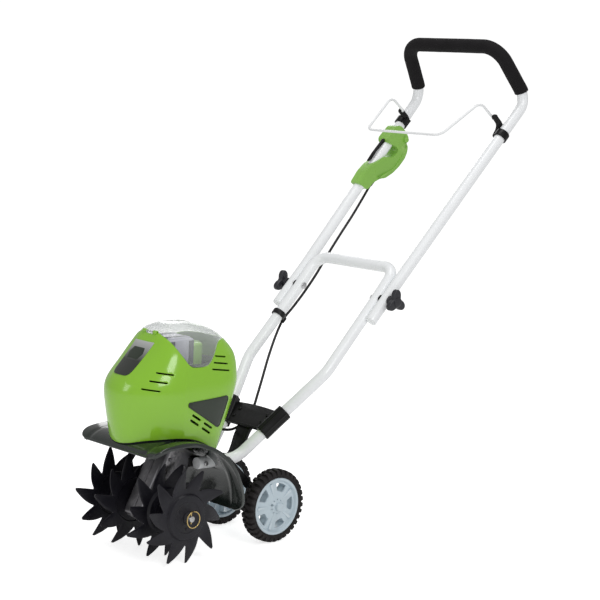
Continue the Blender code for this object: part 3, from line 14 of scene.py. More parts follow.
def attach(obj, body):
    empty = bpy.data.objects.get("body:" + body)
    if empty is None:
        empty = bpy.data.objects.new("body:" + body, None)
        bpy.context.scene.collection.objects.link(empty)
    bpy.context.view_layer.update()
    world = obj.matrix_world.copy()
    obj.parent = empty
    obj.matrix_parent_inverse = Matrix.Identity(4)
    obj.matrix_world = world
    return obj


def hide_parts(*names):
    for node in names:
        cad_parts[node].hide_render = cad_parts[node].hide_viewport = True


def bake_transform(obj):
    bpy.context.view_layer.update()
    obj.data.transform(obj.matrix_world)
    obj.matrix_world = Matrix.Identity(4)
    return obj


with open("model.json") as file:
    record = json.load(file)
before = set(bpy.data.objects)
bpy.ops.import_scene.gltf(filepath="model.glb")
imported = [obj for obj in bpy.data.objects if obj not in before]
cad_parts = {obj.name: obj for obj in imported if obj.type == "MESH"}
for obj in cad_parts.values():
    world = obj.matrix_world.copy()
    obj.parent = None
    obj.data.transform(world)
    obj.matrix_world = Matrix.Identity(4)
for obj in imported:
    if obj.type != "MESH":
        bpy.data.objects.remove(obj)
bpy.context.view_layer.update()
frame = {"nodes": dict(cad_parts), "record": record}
NODES = frame["nodes"]
BODY_OF = {node: body for body, nodes in frame["record"]["behaviour"]["bodies"].items()
           for node in nodes}
SCENE = bpy.context.scene
SHAFT_TO_CENTRE = 0.4217       # from the tine shaft back to the middle of the whole length
TO_FRAME = Matrix.Translation((0.0, -SHAFT_TO_CENTRE, 0.0))
ACROSS_X = Vector((1.0, 0.0, 0.0))
SIDES = (("left", 1.0), ("right", -1.0))

# ---------------------------------------------------------------- camera, light and floor


def light_by_ray(tree, seen_by_others, seen_by_camera, socket):
    """Give a socket one strength for camera rays and another for all other rays."""
    ray, strength = tree.nodes.new("ShaderNodeLightPath"), tree.nodes.new("ShaderNodeMapRange")
    strength.inputs["To Min"].default_value = seen_by_others
    strength.inputs["To Max"].default_value = seen_by_camera
    tree.links.new(ray.outputs["Is Camera Ray"], strength.inputs["Value"])
    tree.links.new(strength.outputs["Result"], socket)


def set_stage():
    data = bpy.data.cameras.new("camera")
    data.lens, data.sensor_width = 100.2, 36.0
    data.clip_end = 60.0
    camera = bpy.data.objects.new("camera", data)
    SCENE.collection.objects.link(camera)
    right = Vector((0.6871, 0.7249, 0.0494)).normalized()
    ahead = Vector((-0.7149, 0.6866, -0.1324)).normalized()
    up = right.cross(ahead).normalized()
    turn = Matrix((right, up, -ahead)).transposed().to_4x4()
    camera.matrix_world = Matrix.Translation((2.666, -2.5747, 1.006)) @ turn
    SCENE.camera = camera
    SCENE.view_settings.view_transform = "Standard"

    world = bpy.data.worlds.new("studio")
    world.use_nodes = True
    tree = world.node_tree
    back = tree.nodes["Background"]
    back.inputs["Color"].default_value = (1.0, 1.0, 1.0, 1.0)
    light_by_ray(tree, 0.42, 1.05, back.inputs["Strength"])
    SCENE.world = world

    for name, place, size, power, aim in (
            ("key", (2.7, -1.0, 2.3), (1.0, 1.5), 26.0, (0.0, -0.25, 0.35)),
            ("front", (-0.5, -3.2, 1.4), (0.7, 1.5), 11.0, (0.0, -0.4, 0.3)),
            ("top", (0.2, 0.1, 3.2), (1.4, 1.4), 20.0, (0.0, 0.0, 0.4)),
            ("back", (-2.4, 1.8, 1.8), (1.2, 1.6), 12.0, (0.0, 0.0, 0.5))):
        lamp = bpy.data.lights.new(name, "AREA")
        lamp.shape = "RECTANGLE"
        lamp.size, lamp.size_y = size
        lamp.energy = power
        obj = bpy.data.objects.new(name, lamp)
        SCENE.collection.objects.link(obj)
        obj.location = place
        obj.rotation_euler = (Vector(place) - Vector(aim)).to_track_quat("Z", "Y").to_euler()

    work = bmesh.new()
    bmesh.ops.create_circle(work, cap_ends=True, segments=64, radius=30.0)
    data = bpy.data.meshes.new("floor")
    work.to_mesh(data)
    work.free()
    floor = bpy.data.objects.new("floor", data)
    SCENE.collection.objects.link(floor)
    made = bpy.data.materials.new("floor")
    made.cycles.emission_sampling = "NONE"
    made.use_nodes = True
    shader = made.node_tree.nodes["Principled BSDF"]
    shader.inputs["Base Color"].default_value = (0.90, 0.90, 0.90, 1.0)
    shader.inputs["Roughness"].default_value = 0.9
    shader.inputs["Specular IOR Level"].default_value = 0.0
    shader.inputs["Emission Color"].default_value = (1.0, 1.0, 1.0, 1.0)
    light_by_ray(made.node_tree, 0.16, 0.72, shader.inputs["Emission Strength"])
    data.materials.append(made)


set_stage()


# ---------------------------------------------------------------- materials
class Surface:
    """A procedural material: tone drift, fine grain, slower waviness and edge wear."""

    def __init__(self, name, colour, rough, metal=0.0):
        self.made = bpy.data.materials.new(name)
        self.made.use_nodes = True
        self.nodes = self.made.node_tree.nodes
        self.links = self.made.node_tree.links
        self.shader = self.nodes["Principled BSDF"]
        self.shader.inputs["Base Color"].default_value = (*colour, 1.0)
        self.shader.inputs["Roughness"].default_value = rough
        self.shader.inputs["Metallic"].default_value = metal
        self.colour, self.rough = colour, rough
        self.place = self.nodes.new("ShaderNodeTexCoord").outputs["Object"]
        self.tint = None
        self.normal = None

    def set(self, **values):
        for name, value in values.items():
            self.shader.inputs[name.replace("_", " ")].default_value = value
        return self

    def cloud(self, scale, detail=3.0, stretch=None):
        source = self.place
        if stretch:
            mapping = self.nodes.new("ShaderNodeMapping")
            mapping.inputs["Scale"].default_value = stretch
            self.links.new(source, mapping.inputs["Vector"])
            source = mapping.outputs["Vector"]
        cloud = self.nodes.new("ShaderNodeTexNoise")
        cloud.inputs["Scale"].default_value = scale
        cloud.inputs["Detail"].default_value = detail
        self.links.new(source, cloud.inputs["Vector"])
        return cloud.outputs["Fac"]

    def spread(self, source, low, high, start=0.3, end=0.7):
        ramp = self.nodes.new("ShaderNodeMapRange")
        ramp.inputs["From Min"].default_value = start
        ramp.inputs["From Max"].default_value = end
        ramp.inputs["To Min"].default_value = low
        ramp.inputs["To Max"].default_value = high
        self.links.new(source, ramp.inputs["Value"])
        return ramp.outputs["Result"]

    def blend(self, share, first, second):
        mix = self.nodes.new("ShaderNodeMix")
        mix.data_type = "RGBA"
        self.links.new(share, mix.inputs["Factor"])
        for socket, value in ((mix.inputs[6], first), (mix.inputs[7], second)):
            if isinstance(value, tuple):
                socket.default_value = (*value, 1.0)
            else:
                self.links.new(value, socket)
        self.tint = mix.outputs[2]
        self.links.new(self.tint, self.shader.inputs["Base Color"])
        return self

    def drift(self, scale, amount):
        """Slow change of tone across the surface."""
        light = tuple(min(1.0, c * (1 + amount)) for c in self.colour)
        dark = tuple(c * (1 - amount) for c in self.colour)
        share = self.spread(self.cloud(scale, 4.0), 0.0, 1.0)
        return self.blend(share, dark, light)

    def polish(self, scale, amount):
        """Change of roughness: rubbed and dull patches."""
        value = self.spread(self.cloud(scale, 5.0), max(0.02, self.rough - amount),
                            self.rough + amount)
        self.links.new(value, self.shader.inputs["Roughness"])
        return self

    def relief(self, scale, strength, distance, stretch=None, source=None):
        """Bump on top of what is there already."""
        bump = self.nodes.new("ShaderNodeBump")
        bump.inputs["Strength"].default_value = strength
        bump.inputs["Distance"].default_value = distance
        self.links.new(source or self.cloud(scale, 3.0, stretch), bump.inputs["Height"])
        if self.normal:
            self.links.new(self.normal, bump.inputs["Normal"])
        self.normal = bump.outputs["Normal"]
        self.links.new(self.normal, self.shader.inputs["Normal"])
        return self

    def cells(self, scale, strength, distance):
        """Small closed cells, as in foam."""
        cell = self.nodes.new("ShaderNodeTexVoronoi")
        cell.inputs["Scale"].default_value = scale
        self.links.new(self.place, cell.inputs["Vector"])
        return self.relief(0, strength, distance, source=cell.outputs["Distance"])

    def patchy(self, share, patches, colour):
        """Lay a colour over the tone so far, where a share and its patches both allow it."""
        both = self.nodes.new("ShaderNodeMath")
        both.operation = "MULTIPLY"
        self.links.new(share, both.inputs[0])
        self.links.new(patches, both.inputs[1])
        return self.blend(both.outputs[0], self.tint or self.colour, colour)

    def wear(self, colour, start, end):
        """Lighter, rubbed edges."""
        edge = self.nodes.new("ShaderNodeNewGeometry").outputs["Pointiness"]
        return self.patchy(self.spread(edge, 0.0, 1.0, start, end),
                           self.spread(self.cloud(140.0, 4.0), 0.2, 1.0, 0.4, 0.6), colour)

    def dust(self, colour, top, amount):
        """Dried soil that thins out with height."""
        split = self.nodes.new("ShaderNodeSeparateXYZ")
        self.links.new(self.place, split.inputs["Vector"])
        return self.patchy(self.spread(split.outputs["Z"], amount, 0.0, 0.0, top),
                           self.spread(self.cloud(55.0, 6.0), 0.0, 1.0, 0.42, 0.66), colour)


GREEN = (Surface("green_plastic", (0.262, 0.552, 0.030), 0.20).drift(5.0, 0.035)
         .polish(9.0, 0.05).relief(420.0, 0.10, 0.00015).relief(3200.0, 0.10, 0.00008)
         .wear((0.36, 0.60, 0.12), 0.54, 0.66).set(Coat_Weight=0.35, Coat_Roughness=0.06).made)
SWITCH_GREEN = (Surface("switch_green", (0.255, 0.52, 0.085), 0.30).drift(8.0, 0.04)
                .polish(12.0, 0.06).relief(2600.0, 0.16, 0.0001)
                .wear((0.38, 0.62, 0.18), 0.54, 0.66).made)
DARK_GREEN = (Surface("guard_plastic", (0.0125, 0.0185, 0.0155), 0.17).drift(7.0, 0.20)
              .polish(16.0, 0.09).relief(160.0, 0.18, 0.0004).relief(2400.0, 0.10, 0.00008)
              .dust((0.10, 0.085, 0.065), 0.22, 0.10)
              .set(Coat_Weight=0.4, Coat_Roughness=0.08).made)
BLACK = (Surface("black_plastic", (0.0052, 0.0052, 0.0056), 0.38).drift(14.0, 0.22)
         .polish(22.0, 0.10).relief(1900.0, 0.22, 0.00012)
         .wear((0.03, 0.03, 0.032), 0.54, 0.64).set(Specular_IOR_Level=0.24).made)
KNOB = (Surface("knob_plastic", (0.022, 0.022, 0.028), 0.40).drift(18.0, 0.15)
        .polish(24.0, 0.09).relief(1900.0, 0.18, 0.00012)
        .wear((0.07, 0.07, 0.08), 0.54, 0.64).made)
SATIN_BLACK = (Surface("cable_black", (0.010, 0.010, 0.010), 0.42).drift(30.0, 0.2)
               .polish(60.0, 0.08).relief(2600.0, 0.15, 0.0001)
               .set(Specular_IOR_Level=0.35).made)
BADGE = (Surface("badge_plate", (0.021, 0.031, 0.019), 0.36).drift(20.0, 0.08)
         .polish(40.0, 0.07).relief(2600.0, 0.12, 0.0001).made)
WHITE = (Surface("white_powder_coat", (0.93, 0.945, 0.96), 0.28).drift(4.0, 0.012)
         .polish(14.0, 0.06).relief(700.0, 0.05, 0.0001).relief(60.0, 0.03, 0.0003)
         .set(Coat_Weight=0.25, Coat_Roughness=0.12).made)
WIRE_WHITE = (Surface("white_wire_coat", (0.88, 0.89, 0.90), 0.34).drift(9.0, 0.02)
              .polish(30.0, 0.08).relief(900.0, 0.06, 0.0001).made)
FOAM = (Surface("foam", (0.0080, 0.0070, 0.0080), 0.78).drift(26.0, 0.25)
        .cells(1150.0, 0.55, 0.0005).relief(240.0, 0.35, 0.0006)
        .set(Specular_IOR_Level=0.22).made)
TINE = (Surface("tine_paint", (0.0105, 0.0100, 0.0150), 0.40, 0.10).drift(18.0, 0.22)
        .polish(24.0, 0.13).relief(260.0, 0.30, 0.0004).relief(1500.0, 0.22, 0.00015)
        .wear((0.05, 0.047, 0.055), 0.54, 0.63).dust((0.060, 0.046, 0.034), 0.13, 0.08)
        .set(Specular_IOR_Level=0.34).made)
CAST = (Surface("cast_alloy", (0.165, 0.162, 0.172), 0.34, 0.90).drift(16.0, 0.10)
        .polish(26.0, 0.06).relief(1300.0, 0.18, 0.0002).relief(120.0, 0.04, 0.0005)
        .wear((0.40, 0.39, 0.40), 0.54, 0.62).made)
STEEL = (Surface("zinc_steel", (0.56, 0.56, 0.57), 0.28, 1.0).drift(40.0, 0.10)
         .polish(60.0, 0.10).relief(900.0, 0.22, 0.0001, stretch=(6.0, 1.0, 1.0)).made)
GOLD = (Surface("yellow_zinc", (0.62, 0.46, 0.19), 0.26, 1.0).drift(120.0, 0.22)
        .polish(160.0, 0.10).relief(1800.0, 0.15, 0.0001).made)
BRONZE = (Surface("bronze", (0.55, 0.33, 0.12), 0.32, 1.0).drift(60.0, 0.12)
          .relief(1200.0, 0.2, 0.0001).made)
COPPER = (Surface("copper_windings", (0.5, 0.22, 0.1), 0.34, 0.9).drift(50.0, 0.12)
          .relief(400.0, 0.5, 0.0005, stretch=(1.0, 12.0, 12.0)).made)
TYRE = (Surface("tyre_rubber", (0.0135, 0.0115, 0.0120), 0.74).drift(30.0, 0.25)
        .polish(40.0, 0.10).relief(1400.0, 0.40, 0.0002).relief(300.0, 0.2, 0.0004)
        .dust((0.10, 0.085, 0.07), 0.10, 0.10).wear((0.035, 0.032, 0.032), 0.54, 0.64)
        .set(Specular_IOR_Level=0.3).made)
RIM = (Surface("rim_plastic", (0.56, 0.655, 0.715), 0.34).drift(22.0, 0.05)
       .polish(30.0, 0.08).relief(1500.0, 0.20, 0.00012)
       .wear((0.66, 0.74, 0.79), 0.54, 0.64).made)
PACK = (Surface("battery_case", (0.50, 0.50, 0.585), 0.30).drift(24.0, 0.05)
        .polish(30.0, 0.08).relief(1800.0, 0.15, 0.0001).made)
PACK_DARK = (Surface("battery_strip", (0.030, 0.030, 0.052), 0.32).drift(30.0, 0.15)
             .relief(1800.0, 0.15, 0.0001).made)


def clear_plastic():
    """Clear moulding: a thin, glossy sheet; its whitening where it is seen edge on is a painted
    reflection.
    """
    made = Surface("clear_plastic", (0.90, 0.94, 0.93), 0.06)
    made.drift(6.0, 0.015).polish(10.0, 0.03).relief(90.0, 0.05, 0.0003)
    # painted reflection: alpha over the white base rises towards grazing angles, standing in for the
    # glare of the clear sheet
    facing = made.nodes.new("ShaderNodeLayerWeight")
    facing.inputs["Blend"].default_value = 0.35
    made.links.new(made.spread(facing.outputs["Facing"], 0.07, 0.80, 0.10, 1.0),
                   made.shader.inputs["Alpha"])
    made.set(Coat_Weight=0.6, Coat_Roughness=0.03)
    return made.made


def label_finish():
    """The front label: light grey at its top edge, dark at its foot."""
    made = Surface("label_plate", (0.30, 0.31, 0.31), 0.24)
    split = made.nodes.new("ShaderNodeSeparateXYZ")
    made.links.new(made.place, split.inputs["Vector"])
    made.blend(made.spread(split.outputs["Z"], 0.0, 1.0, 0.416, 0.453), (0.030, 0.034, 0.029),
               (0.48, 0.49, 0.48))
    made.polish(30.0, 0.05).relief(2200.0, 0.10, 0.0001)
    return made.made


CLEAR = clear_plastic()
LABEL = label_finish()


# ---------------------------------------------------------------- modelling helpers
def add_mesh(name, work):
    bmesh.ops.recalc_face_normals(work, faces=work.faces[:])
    data = bpy.data.meshes.new(name)
    work.to_mesh(data)
    work.free()
    obj = bpy.data.objects.new(name, data)
    SCENE.collection.objects.link(obj)
    return obj


def dress(obj, finish, *nodes, body=None, slot=None, sharp=38.0, bends=False):
    """Move a piece to the frame, give it its finish and let it stand for CAD nodes."""
    obj.data.transform(TO_FRAME @ obj.matrix_world)
    obj.matrix_world = Matrix.Identity(4)
    obj.data.materials.clear()
    obj.data.materials.append(finish)
    obj.data.shade_smooth()
    obj.data.set_sharp_from_angle(angle=math.radians(sharp))
    if not bends:
        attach(obj, body or BODY_OF[nodes[0]])
    if nodes:
        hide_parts(*nodes)
    return obj


def frame_of(origin, across, up):
    """A matrix with the given origin, local X along across and local Y near up."""
    x_axis = Vector(across).normalized()
    z_axis = x_axis.cross(Vector(up)).normalized()
    turn = Matrix((x_axis, z_axis.cross(x_axis), z_axis)).transposed().to_4x4()
    return Matrix.Translation(Vector(origin)) @ turn


SIDE_VIEW = frame_of((0, 0, 0), (0, 1, 0), (0, 0, 1))         # local (x, y) is machine (y, z)


def facing(point, sign=1.0):
    """Local Z along machine X, to the left (+1) or right (-1), origin at point."""
    return Matrix.Translation(point) @ Matrix.Rotation(math.radians(90 * sign), 4, "Y")


def x_axis_at(place, x=0.0):
    """Local Z along machine +X, origin on the axis at place."""
    return facing(Vector((x, place[1], place[2])))


def along(start, end):
    """Local Z from start to end, origin at start."""
    start, end = Vector(start), Vector(end)
    return Matrix.Translation(start) @ (end - start).to_track_quat("Z", "Y").to_matrix().to_4x4()


def polar(radius, angle):
    return radius * math.cos(angle), radius * math.sin(angle)


def arc(centre, radius, start, end, steps):
    """Points of an arc; its start and end angles are in degrees."""
    angles = [math.radians(start + (end - start) * k / steps) for k in range(steps + 1)]
    return [(centre[0] + radius * math.cos(a), centre[1] + radius * math.sin(a)) for a in angles]


def rectangle(left, low, right, high):
    return [(left, low), (right, low), (right, high), (left, high)]


def neighbours(points):
    """Each corner of a closed outline, between the ones before and after it."""
    points = [Vector(p) for p in points]
    return zip(points[-1:] + points[:-1], points, points[1:] + points[:1])


def fillet(points, radius, steps=4, closed=True):
    """A 2-D outline with its corners rounded."""
    count = len(points)
    made = []
    for k, corner in enumerate(points):
        if not closed and k in (0, count - 1):
            made.append(tuple(corner))
            continue
        here = Vector(corner)
        before, after = Vector(points[k - 1]), Vector(points[(k + 1) % count])
        back, ahead = before - here, after - here
        reach = min(radius, back.length * 0.45, ahead.length * 0.45)
        if reach < 1e-6 or back.angle(ahead, 0.0) > math.radians(178):
            made.append(tuple(corner))
            continue
        start, end = here + back.normalized() * reach, here + ahead.normalized() * reach
        for step in range(steps + 1):
            t = step / steps
            made.append(tuple(start * (1 - t) ** 2 + here * 2 * t * (1 - t) + end * t ** 2))
    return made


def rounded(points, radii):
    """A path through points with each inner corner rounded by an arc of its radius."""
    points = [Vector(p) for p in points]
    path = [points[0]]
    for before, corner, after, radius in zip(points, points[1:], points[2:], radii):
        back, ahead = (before - corner).normalized(), (after - corner).normalized()
        half = back.angle(ahead) / 2
        reach = radius / math.tan(half)
        centre = corner + (back + ahead).normalized() * (radius / math.sin(half))
        first, last = corner + back * reach - centre, corner + ahead * reach - centre
        bend = first.angle(last)
        steps = max(3, math.ceil(math.degrees(bend) / 5.0))
        for step in range(steps + 1):
            share = step / steps
            path.append(centre + first * (math.sin((1 - share) * bend) / math.sin(bend))
                        + last * (math.sin(share * bend) / math.sin(bend)))
    path.append(points[-1])
    return path


def divided(path, spacing):
    """The same path with long straight runs divided."""
    made = [path[0]]
    for a, b in zip(path, path[1:]):
        steps = max(1, math.ceil((b - a).length / spacing))
        made.extend(a + (b - a) * (k / steps) for k in range(1, steps + 1))
    return made


def smooth_route(points, steps=8):
    """A Catmull-Rom curve through given points."""
    points = [Vector(p) for p in points]
    padded = [2 * points[0] - points[1], *points, 2 * points[-1] - points[-2]]
    route = []
    for a, b, c, d in zip(padded, padded[1:], padded[2:], padded[3:]):
        for step in range(steps):
            t = step / steps
            route.append(0.5 * ((2 * b) + (c - a) * t + (2 * a - 5 * b + 4 * c - d) * t ** 2
                                + (3 * b - a - 3 * c + d) * t ** 3))
    route.append(points[-1])
    return route


def stitch(work, rings):
    """Join each ring of vertices to the next with quads."""
    for one, other in zip(rings, rings[1:]):
        for k in range(len(one)):
            after = (k + 1) % len(one)
            work.faces.new((one[k], one[after], other[after], other[k]))


def sweep(name, path, radius, sides=40, edge=0.0008, bore=None, shape=None):
    """A round bar or pipe along a path; shape(share, angle) scales the radius."""
    path = [Vector(p) for p in path]
    tangents = []
    for k in range(len(path)):
        run = path[min(k + 1, len(path) - 1)] - path[max(k - 1, 0)]
        tangents.append(run.normalized())
    normal = tangents[0].orthogonal().normalized()
    stations = []
    lengths = [0.0]
    for a, b in zip(path, path[1:]):
        lengths.append(lengths[-1] + (b - a).length)
    for k, (point, run) in enumerate(zip(path, tangents)):
        normal = (normal - run * normal.dot(run)).normalized()
        stations.append((point, run, normal.copy(), lengths[k] / lengths[-1]))
    first, last = stations[0], stations[-1]
    work = bmesh.new()

    def ring(point, run, side, share, shrink, inner=None):
        other = run.cross(side)
        line = []
        for k in range(sides):
            angle = 2 * math.pi * k / sides
            size = (inner or radius) * (shape(share, angle) if shape and not inner else 1.0)
            size -= shrink
            line.append(work.verts.new(point + side * (size * math.cos(angle))
                                       + other * (size * math.sin(angle))))
        return line

    rings = []
    for k in (2, 1, 0):
        a = math.radians(45 * k)
        rings.append(ring(first[0] + first[1] * edge * (1 - math.sin(a)), first[1], first[2], 0.0,
                          edge * (1 - math.cos(a))))
    for point, run, side, share in stations[1:-1]:
        if (point - first[0]).length > edge * 1.5 and (point - last[0]).length > edge * 1.5:
            rings.append(ring(point, run, side, share, 0.0))
    for k in (0, 1, 2):
        a = math.radians(45 * k)
        rings.append(ring(last[0] - last[1] * edge * (1 - math.sin(a)), last[1], last[2], 1.0,
                          edge * (1 - math.cos(a))))
    if bore:
        for point, run, side, share in stations[::-1]:
            rings.append(ring(point, run, side, share, 0.0, bore))
        rings.append(rings[0])
    stitch(work, rings)
    if not bore:
        work.faces.new(rings[0])
        work.faces.new(rings[-1])
    return add_mesh(name, work)


def lathe(name, outline, place, steps=72, bored=False):
    """A turned shape from a (radius, height) outline; radius 0 closes on the axis."""
    work = bmesh.new()
    rings = []
    for radius, height in outline:
        if radius < 1e-6:
            rings.append([work.verts.new((0.0, 0.0, height))])
        else:
            rings.append([work.verts.new((*polar(radius, 2 * math.pi * k / steps), height))
                          for k in range(steps)])
    pairs = list(zip(rings, rings[1:]))
    if bored:
        pairs.append((rings[-1], rings[0]))
    for one, other in pairs:
        for k in range(steps):
            after = (k + 1) % steps
            if len(one) == 1 and len(other) > 1:
                work.faces.new((one[0], other[after], other[k]))
            elif len(other) == 1 and len(one) > 1:
                work.faces.new((one[k], one[after], other[0]))
            elif len(one) > 1:
                work.faces.new((one[k], one[after], other[after], other[k]))
    obj = add_mesh(name, work)
    obj.matrix_world = place
    return obj


def turned(name, points, radius, place, steps, bored=False, rounds=4):
    """A turned shape with rounded corners: solid to the axis, or closed round a bore."""
    return lathe(name, fillet(points, radius, rounds, closed=bored), place, steps, bored)


def bevel_sharp(work, width, segments, angle=35.0, where=None):
    edges = [edge for edge in work.edges if len(edge.link_faces) == 2
             and edge.calc_face_angle(0.0) > math.radians(angle) and (not where or where(edge))]
    if edges:
        bmesh.ops.bevel(work, geom=edges, offset=width, segments=segments, profile=0.5,
                        affect="EDGES", clamp_overlap=True)


def slab(name, outline, thickness, place, edge=0.0008, segments=3):
    """A flat outline in the frame of place, thickened about that plane, with eased edges."""
    work = bmesh.new()
    low = [work.verts.new((x, y, -thickness / 2)) for x, y in outline]
    high = [work.verts.new((x, y, thickness / 2)) for x, y in outline]
    work.faces.new(low)
    work.faces.new(high)
    stitch(work, [low, high])
    bmesh.ops.recalc_face_normals(work, faces=work.faces[:])
    if edge:
        bevel_sharp(work, edge, segments)
    obj = add_mesh(name, work)
    obj.matrix_world = place
    return obj


def bake_in(obj):
    """Put an object's place and modifiers into its mesh."""
    bpy.context.view_layer.update()
    depsgraph = bpy.context.evaluated_depsgraph_get()
    data = bpy.data.meshes.new_from_object(obj.evaluated_get(depsgraph))
    data.transform(obj.matrix_world)
    obj.modifiers.clear()
    obj.data = data
    obj.matrix_world = Matrix.Identity(4)
    return obj


def carve(obj, tools, operation="DIFFERENCE"):
    """Cut an object with tools, or keep what lies inside them, and throw the tools away."""
    for tool in tools:
        step = obj.modifiers.new("carve", "BOOLEAN")
        step.operation, step.object, step.solver = operation, tool, "EXACT"
    bake_in(obj)
    for tool in tools:
        bpy.data.objects.remove(tool, do_unlink=True)
    return obj


def ease(obj, width, segments=2, angle=35.0):
    """Round an object's sharp edges a little."""
    work = bmesh.new()
    work.from_mesh(obj.data)
    bmesh.ops.remove_doubles(work, verts=work.verts[:], dist=0.00002)
    bmesh.ops.dissolve_limit(work, angle_limit=math.radians(1.0), verts=work.verts[:],
                             edges=work.edges[:])
    bevel_sharp(work, width, segments, angle)
    bmesh.ops.recalc_face_normals(work, faces=work.faces[:])
    work.to_mesh(obj.data)
    work.free()
    return obj


def merged(name, *objects):
    """Several closed shapes as one object."""
    work = bmesh.new()
    bpy.context.view_layer.update()
    for obj in objects:
        bake_in(obj)
        work.from_mesh(obj.data)
        bpy.data.objects.remove(obj, do_unlink=True)
    return add_mesh(name, work)


def refined(node, finish, width, segments=2, angle=35.0):
    """A CAD node's shape with eased edges, standing for that node."""
    data = NODES[node].data.copy()
    data.transform(TO_FRAME.inverted())
    data.materials.clear()
    obj = bpy.data.objects.new(node + "_finished", data)
    SCENE.collection.objects.link(obj)
    ease(obj, width, segments, angle)
    return dress(obj, finish, node, sharp=30.0)


# ---------------------------------------------------------------- housing and lid
HOUSING_LEVELS = (
    (0.204, 0.0920, -0.084, 0.020, 0.118, 2.0),
    (0.260, 0.0960, -0.093, 0.020, 0.136, 2.0),
    (0.310, 0.1010, -0.103, 0.021, 0.153, 2.0),
    (0.352, 0.1020, -0.107, 0.022, 0.168, 2.1),
    (0.376, 0.0995, -0.099, 0.024, 0.173, 2.1),
    (0.420, 0.0880, -0.057, 0.030, 0.170, 2.2),
    (0.444, 0.0750, -0.034, 0.033, 0.156, 2.6),
    (0.464, 0.0590, -0.019, 0.035, 0.135, 3.1),
    (0.478, 0.0420, -0.006, 0.038, 0.110, 3.3),
    (0.487, 0.0220, 0.010, 0.044, 0.080, 3.0),
)
REAR_SQUARENESS = 4.4
HOUSING_FOOT, HOUSING_TOP = 0.200, 0.487
BAND_OUT = Vector((0.0, -0.75, 0.66))       # the way the raised band of the front stands out
LABEL_OUT = Vector((0.0, -0.72, 0.69))      # the way the front label stands out
GUARD_PROFILE = (
    (-0.0965, 0.2350), (-0.0865, 0.2455), (-0.0660, 0.2545), (-0.0300, 0.2585),
    (0.0000, 0.2580), (0.0300, 0.2530), (0.0600, 0.2420), (0.0870, 0.2270),
    (0.1120, 0.2060), (0.1340, 0.1760), (0.1480, 0.1420), (0.1535, 0.1080),
    (0.1510, 0.0910),
)
LID_EDGE = (
    (-0.0145, 0.560), (-0.0145, 0.4700), (0.0040, 0.4320), (0.0150, 0.4130), (0.0230, 0.4065),
    (0.0340, 0.4045), (0.0560, 0.4045), (0.0680, 0.4070), (0.0770, 0.4130), (0.1060, 0.4450),
    (0.1160, 0.4515), (0.1300, 0.4535), (0.2300, 0.4535), (0.2300, 0.560),
)
LID_AXIS = Vector((0.0, -0.0152, 0.4708))
NARROW_SLOT, WIDE_SLOT = 0.0017, 0.0024     # half heights of the air slots


def level_at(z):
    """The housing's cross-section at a height, curved smoothly between its levels."""
    levels = HOUSING_LEVELS
    z = min(max(z, levels[0][0]), levels[-1][0])
    k = max(i for i in range(len(levels) - 1) if levels[i][0] <= z)
    a, b = levels[k], levels[k + 1]
    before, after = levels[max(k - 1, 0)], levels[min(k + 2, len(levels) - 1)]
    span = b[0] - a[0]
    t = (z - a[0]) / span
    made = []
    for i in range(1, 6):
        slope_a = (b[i] - before[i]) / (b[0] - before[0]) * span
        slope_b = (after[i] - a[i]) / (after[0] - a[0]) * span
        made.append((2 * t ** 3 - 3 * t ** 2 + 1) * a[i] + (t ** 3 - 2 * t ** 2 + t) * slope_a
                    + (3 * t ** 2 - 2 * t ** 3) * b[i] + (t ** 3 - t ** 2) * slope_b)
    return made


def soft_step(value, low, high):
    t = min(max((value - low) / (high - low), 0.0), 1.0)
    return t * t * (3 - 2 * t)


def raised(point):
    """How far the middle band of the front stands proud at a point of the skin."""
    band = 0.0285 + 0.004 * soft_step(point.z, 0.40, 0.47)
    side = 1.0 - soft_step(abs(point.x), band, band + 0.0030)
    front = 1.0 - soft_step(point.y, -0.012, 0.004)
    low = soft_step(point.z, 0.370, 0.384)
    return 0.0016 * side * front * low


def housing_ring(z, sides, inset=0.0):
    half, front, middle, rear, squareness = level_at(z)
    ring = []
    for step in range(sides):
        angle = 2 * math.pi * step / sides
        sine, cosine = math.sin(angle), math.cos(angle)
        power = REAR_SQUARENESS + (squareness - REAR_SQUARENESS) * soft_step(cosine, -0.25, 0.25)
        across = math.copysign(abs(sine) ** (2 / power), sine) * (half - inset)
        reach = (middle - front - inset) if cosine > 0 else (rear - middle - inset)
        ahead = math.copysign(abs(cosine) ** (2 / power), cosine) * reach
        point = Vector((across, middle - ahead, z))
        ring.append(point + BAND_OUT * raised(point))
    return ring


def housing_skin(name, low, high=HOUSING_TOP, rows=70, sides=144, wall=0.003, inset=0.0):
    work = bmesh.new()
    rings = []
    for row in range(rows + 1):
        share = row / rows
        z = low + (high - low) * (1 - (1 - share) ** 1.25)
        rings.append([work.verts.new(p) for p in housing_ring(z, sides, inset)])
    stitch(work, rings)
    last = rings[-1]
    middle = sum((v.co for v in last), Vector()) / sides
    for share, lift in ((0.75, 0.0007), (0.45, 0.0012), (0.15, 0.0014)):
        ring = [work.verts.new(middle + (v.co - middle) * share + Vector((0, 0, lift)))
                for v in rings[-1]]
        for vert, source in zip(ring, rings[-1]):
            vert.co.z = middle.z + lift
        stitch(work, [last, ring])
        last = ring
    work.faces.new(last)
    skin = add_mesh(name, work)
    step = skin.modifiers.new("wall", "SOLIDIFY")
    step.thickness, step.offset = wall, -1.0
    return bake_in(skin)


def guard_normal(points, index):
    before, after = points[max(index - 1, 0)], points[min(index + 1, len(points) - 1)]
    run = Vector((after[0] - before[0], after[1] - before[1])).normalized()
    return Vector((-run.y, run.x))


def offset_outline(points, distance):
    return [(p[0] + guard_normal(points, k).x * distance, p[1] + guard_normal(points, k).y * distance)
            for k, p in enumerate(points)]


def curve_2d(points, steps=5):
    return [(p.x, p.y) for p in smooth_route([(a, b, 0.0) for a, b in points], steps)]


def guard_line():
    return curve_2d(GUARD_PROFILE, 5)


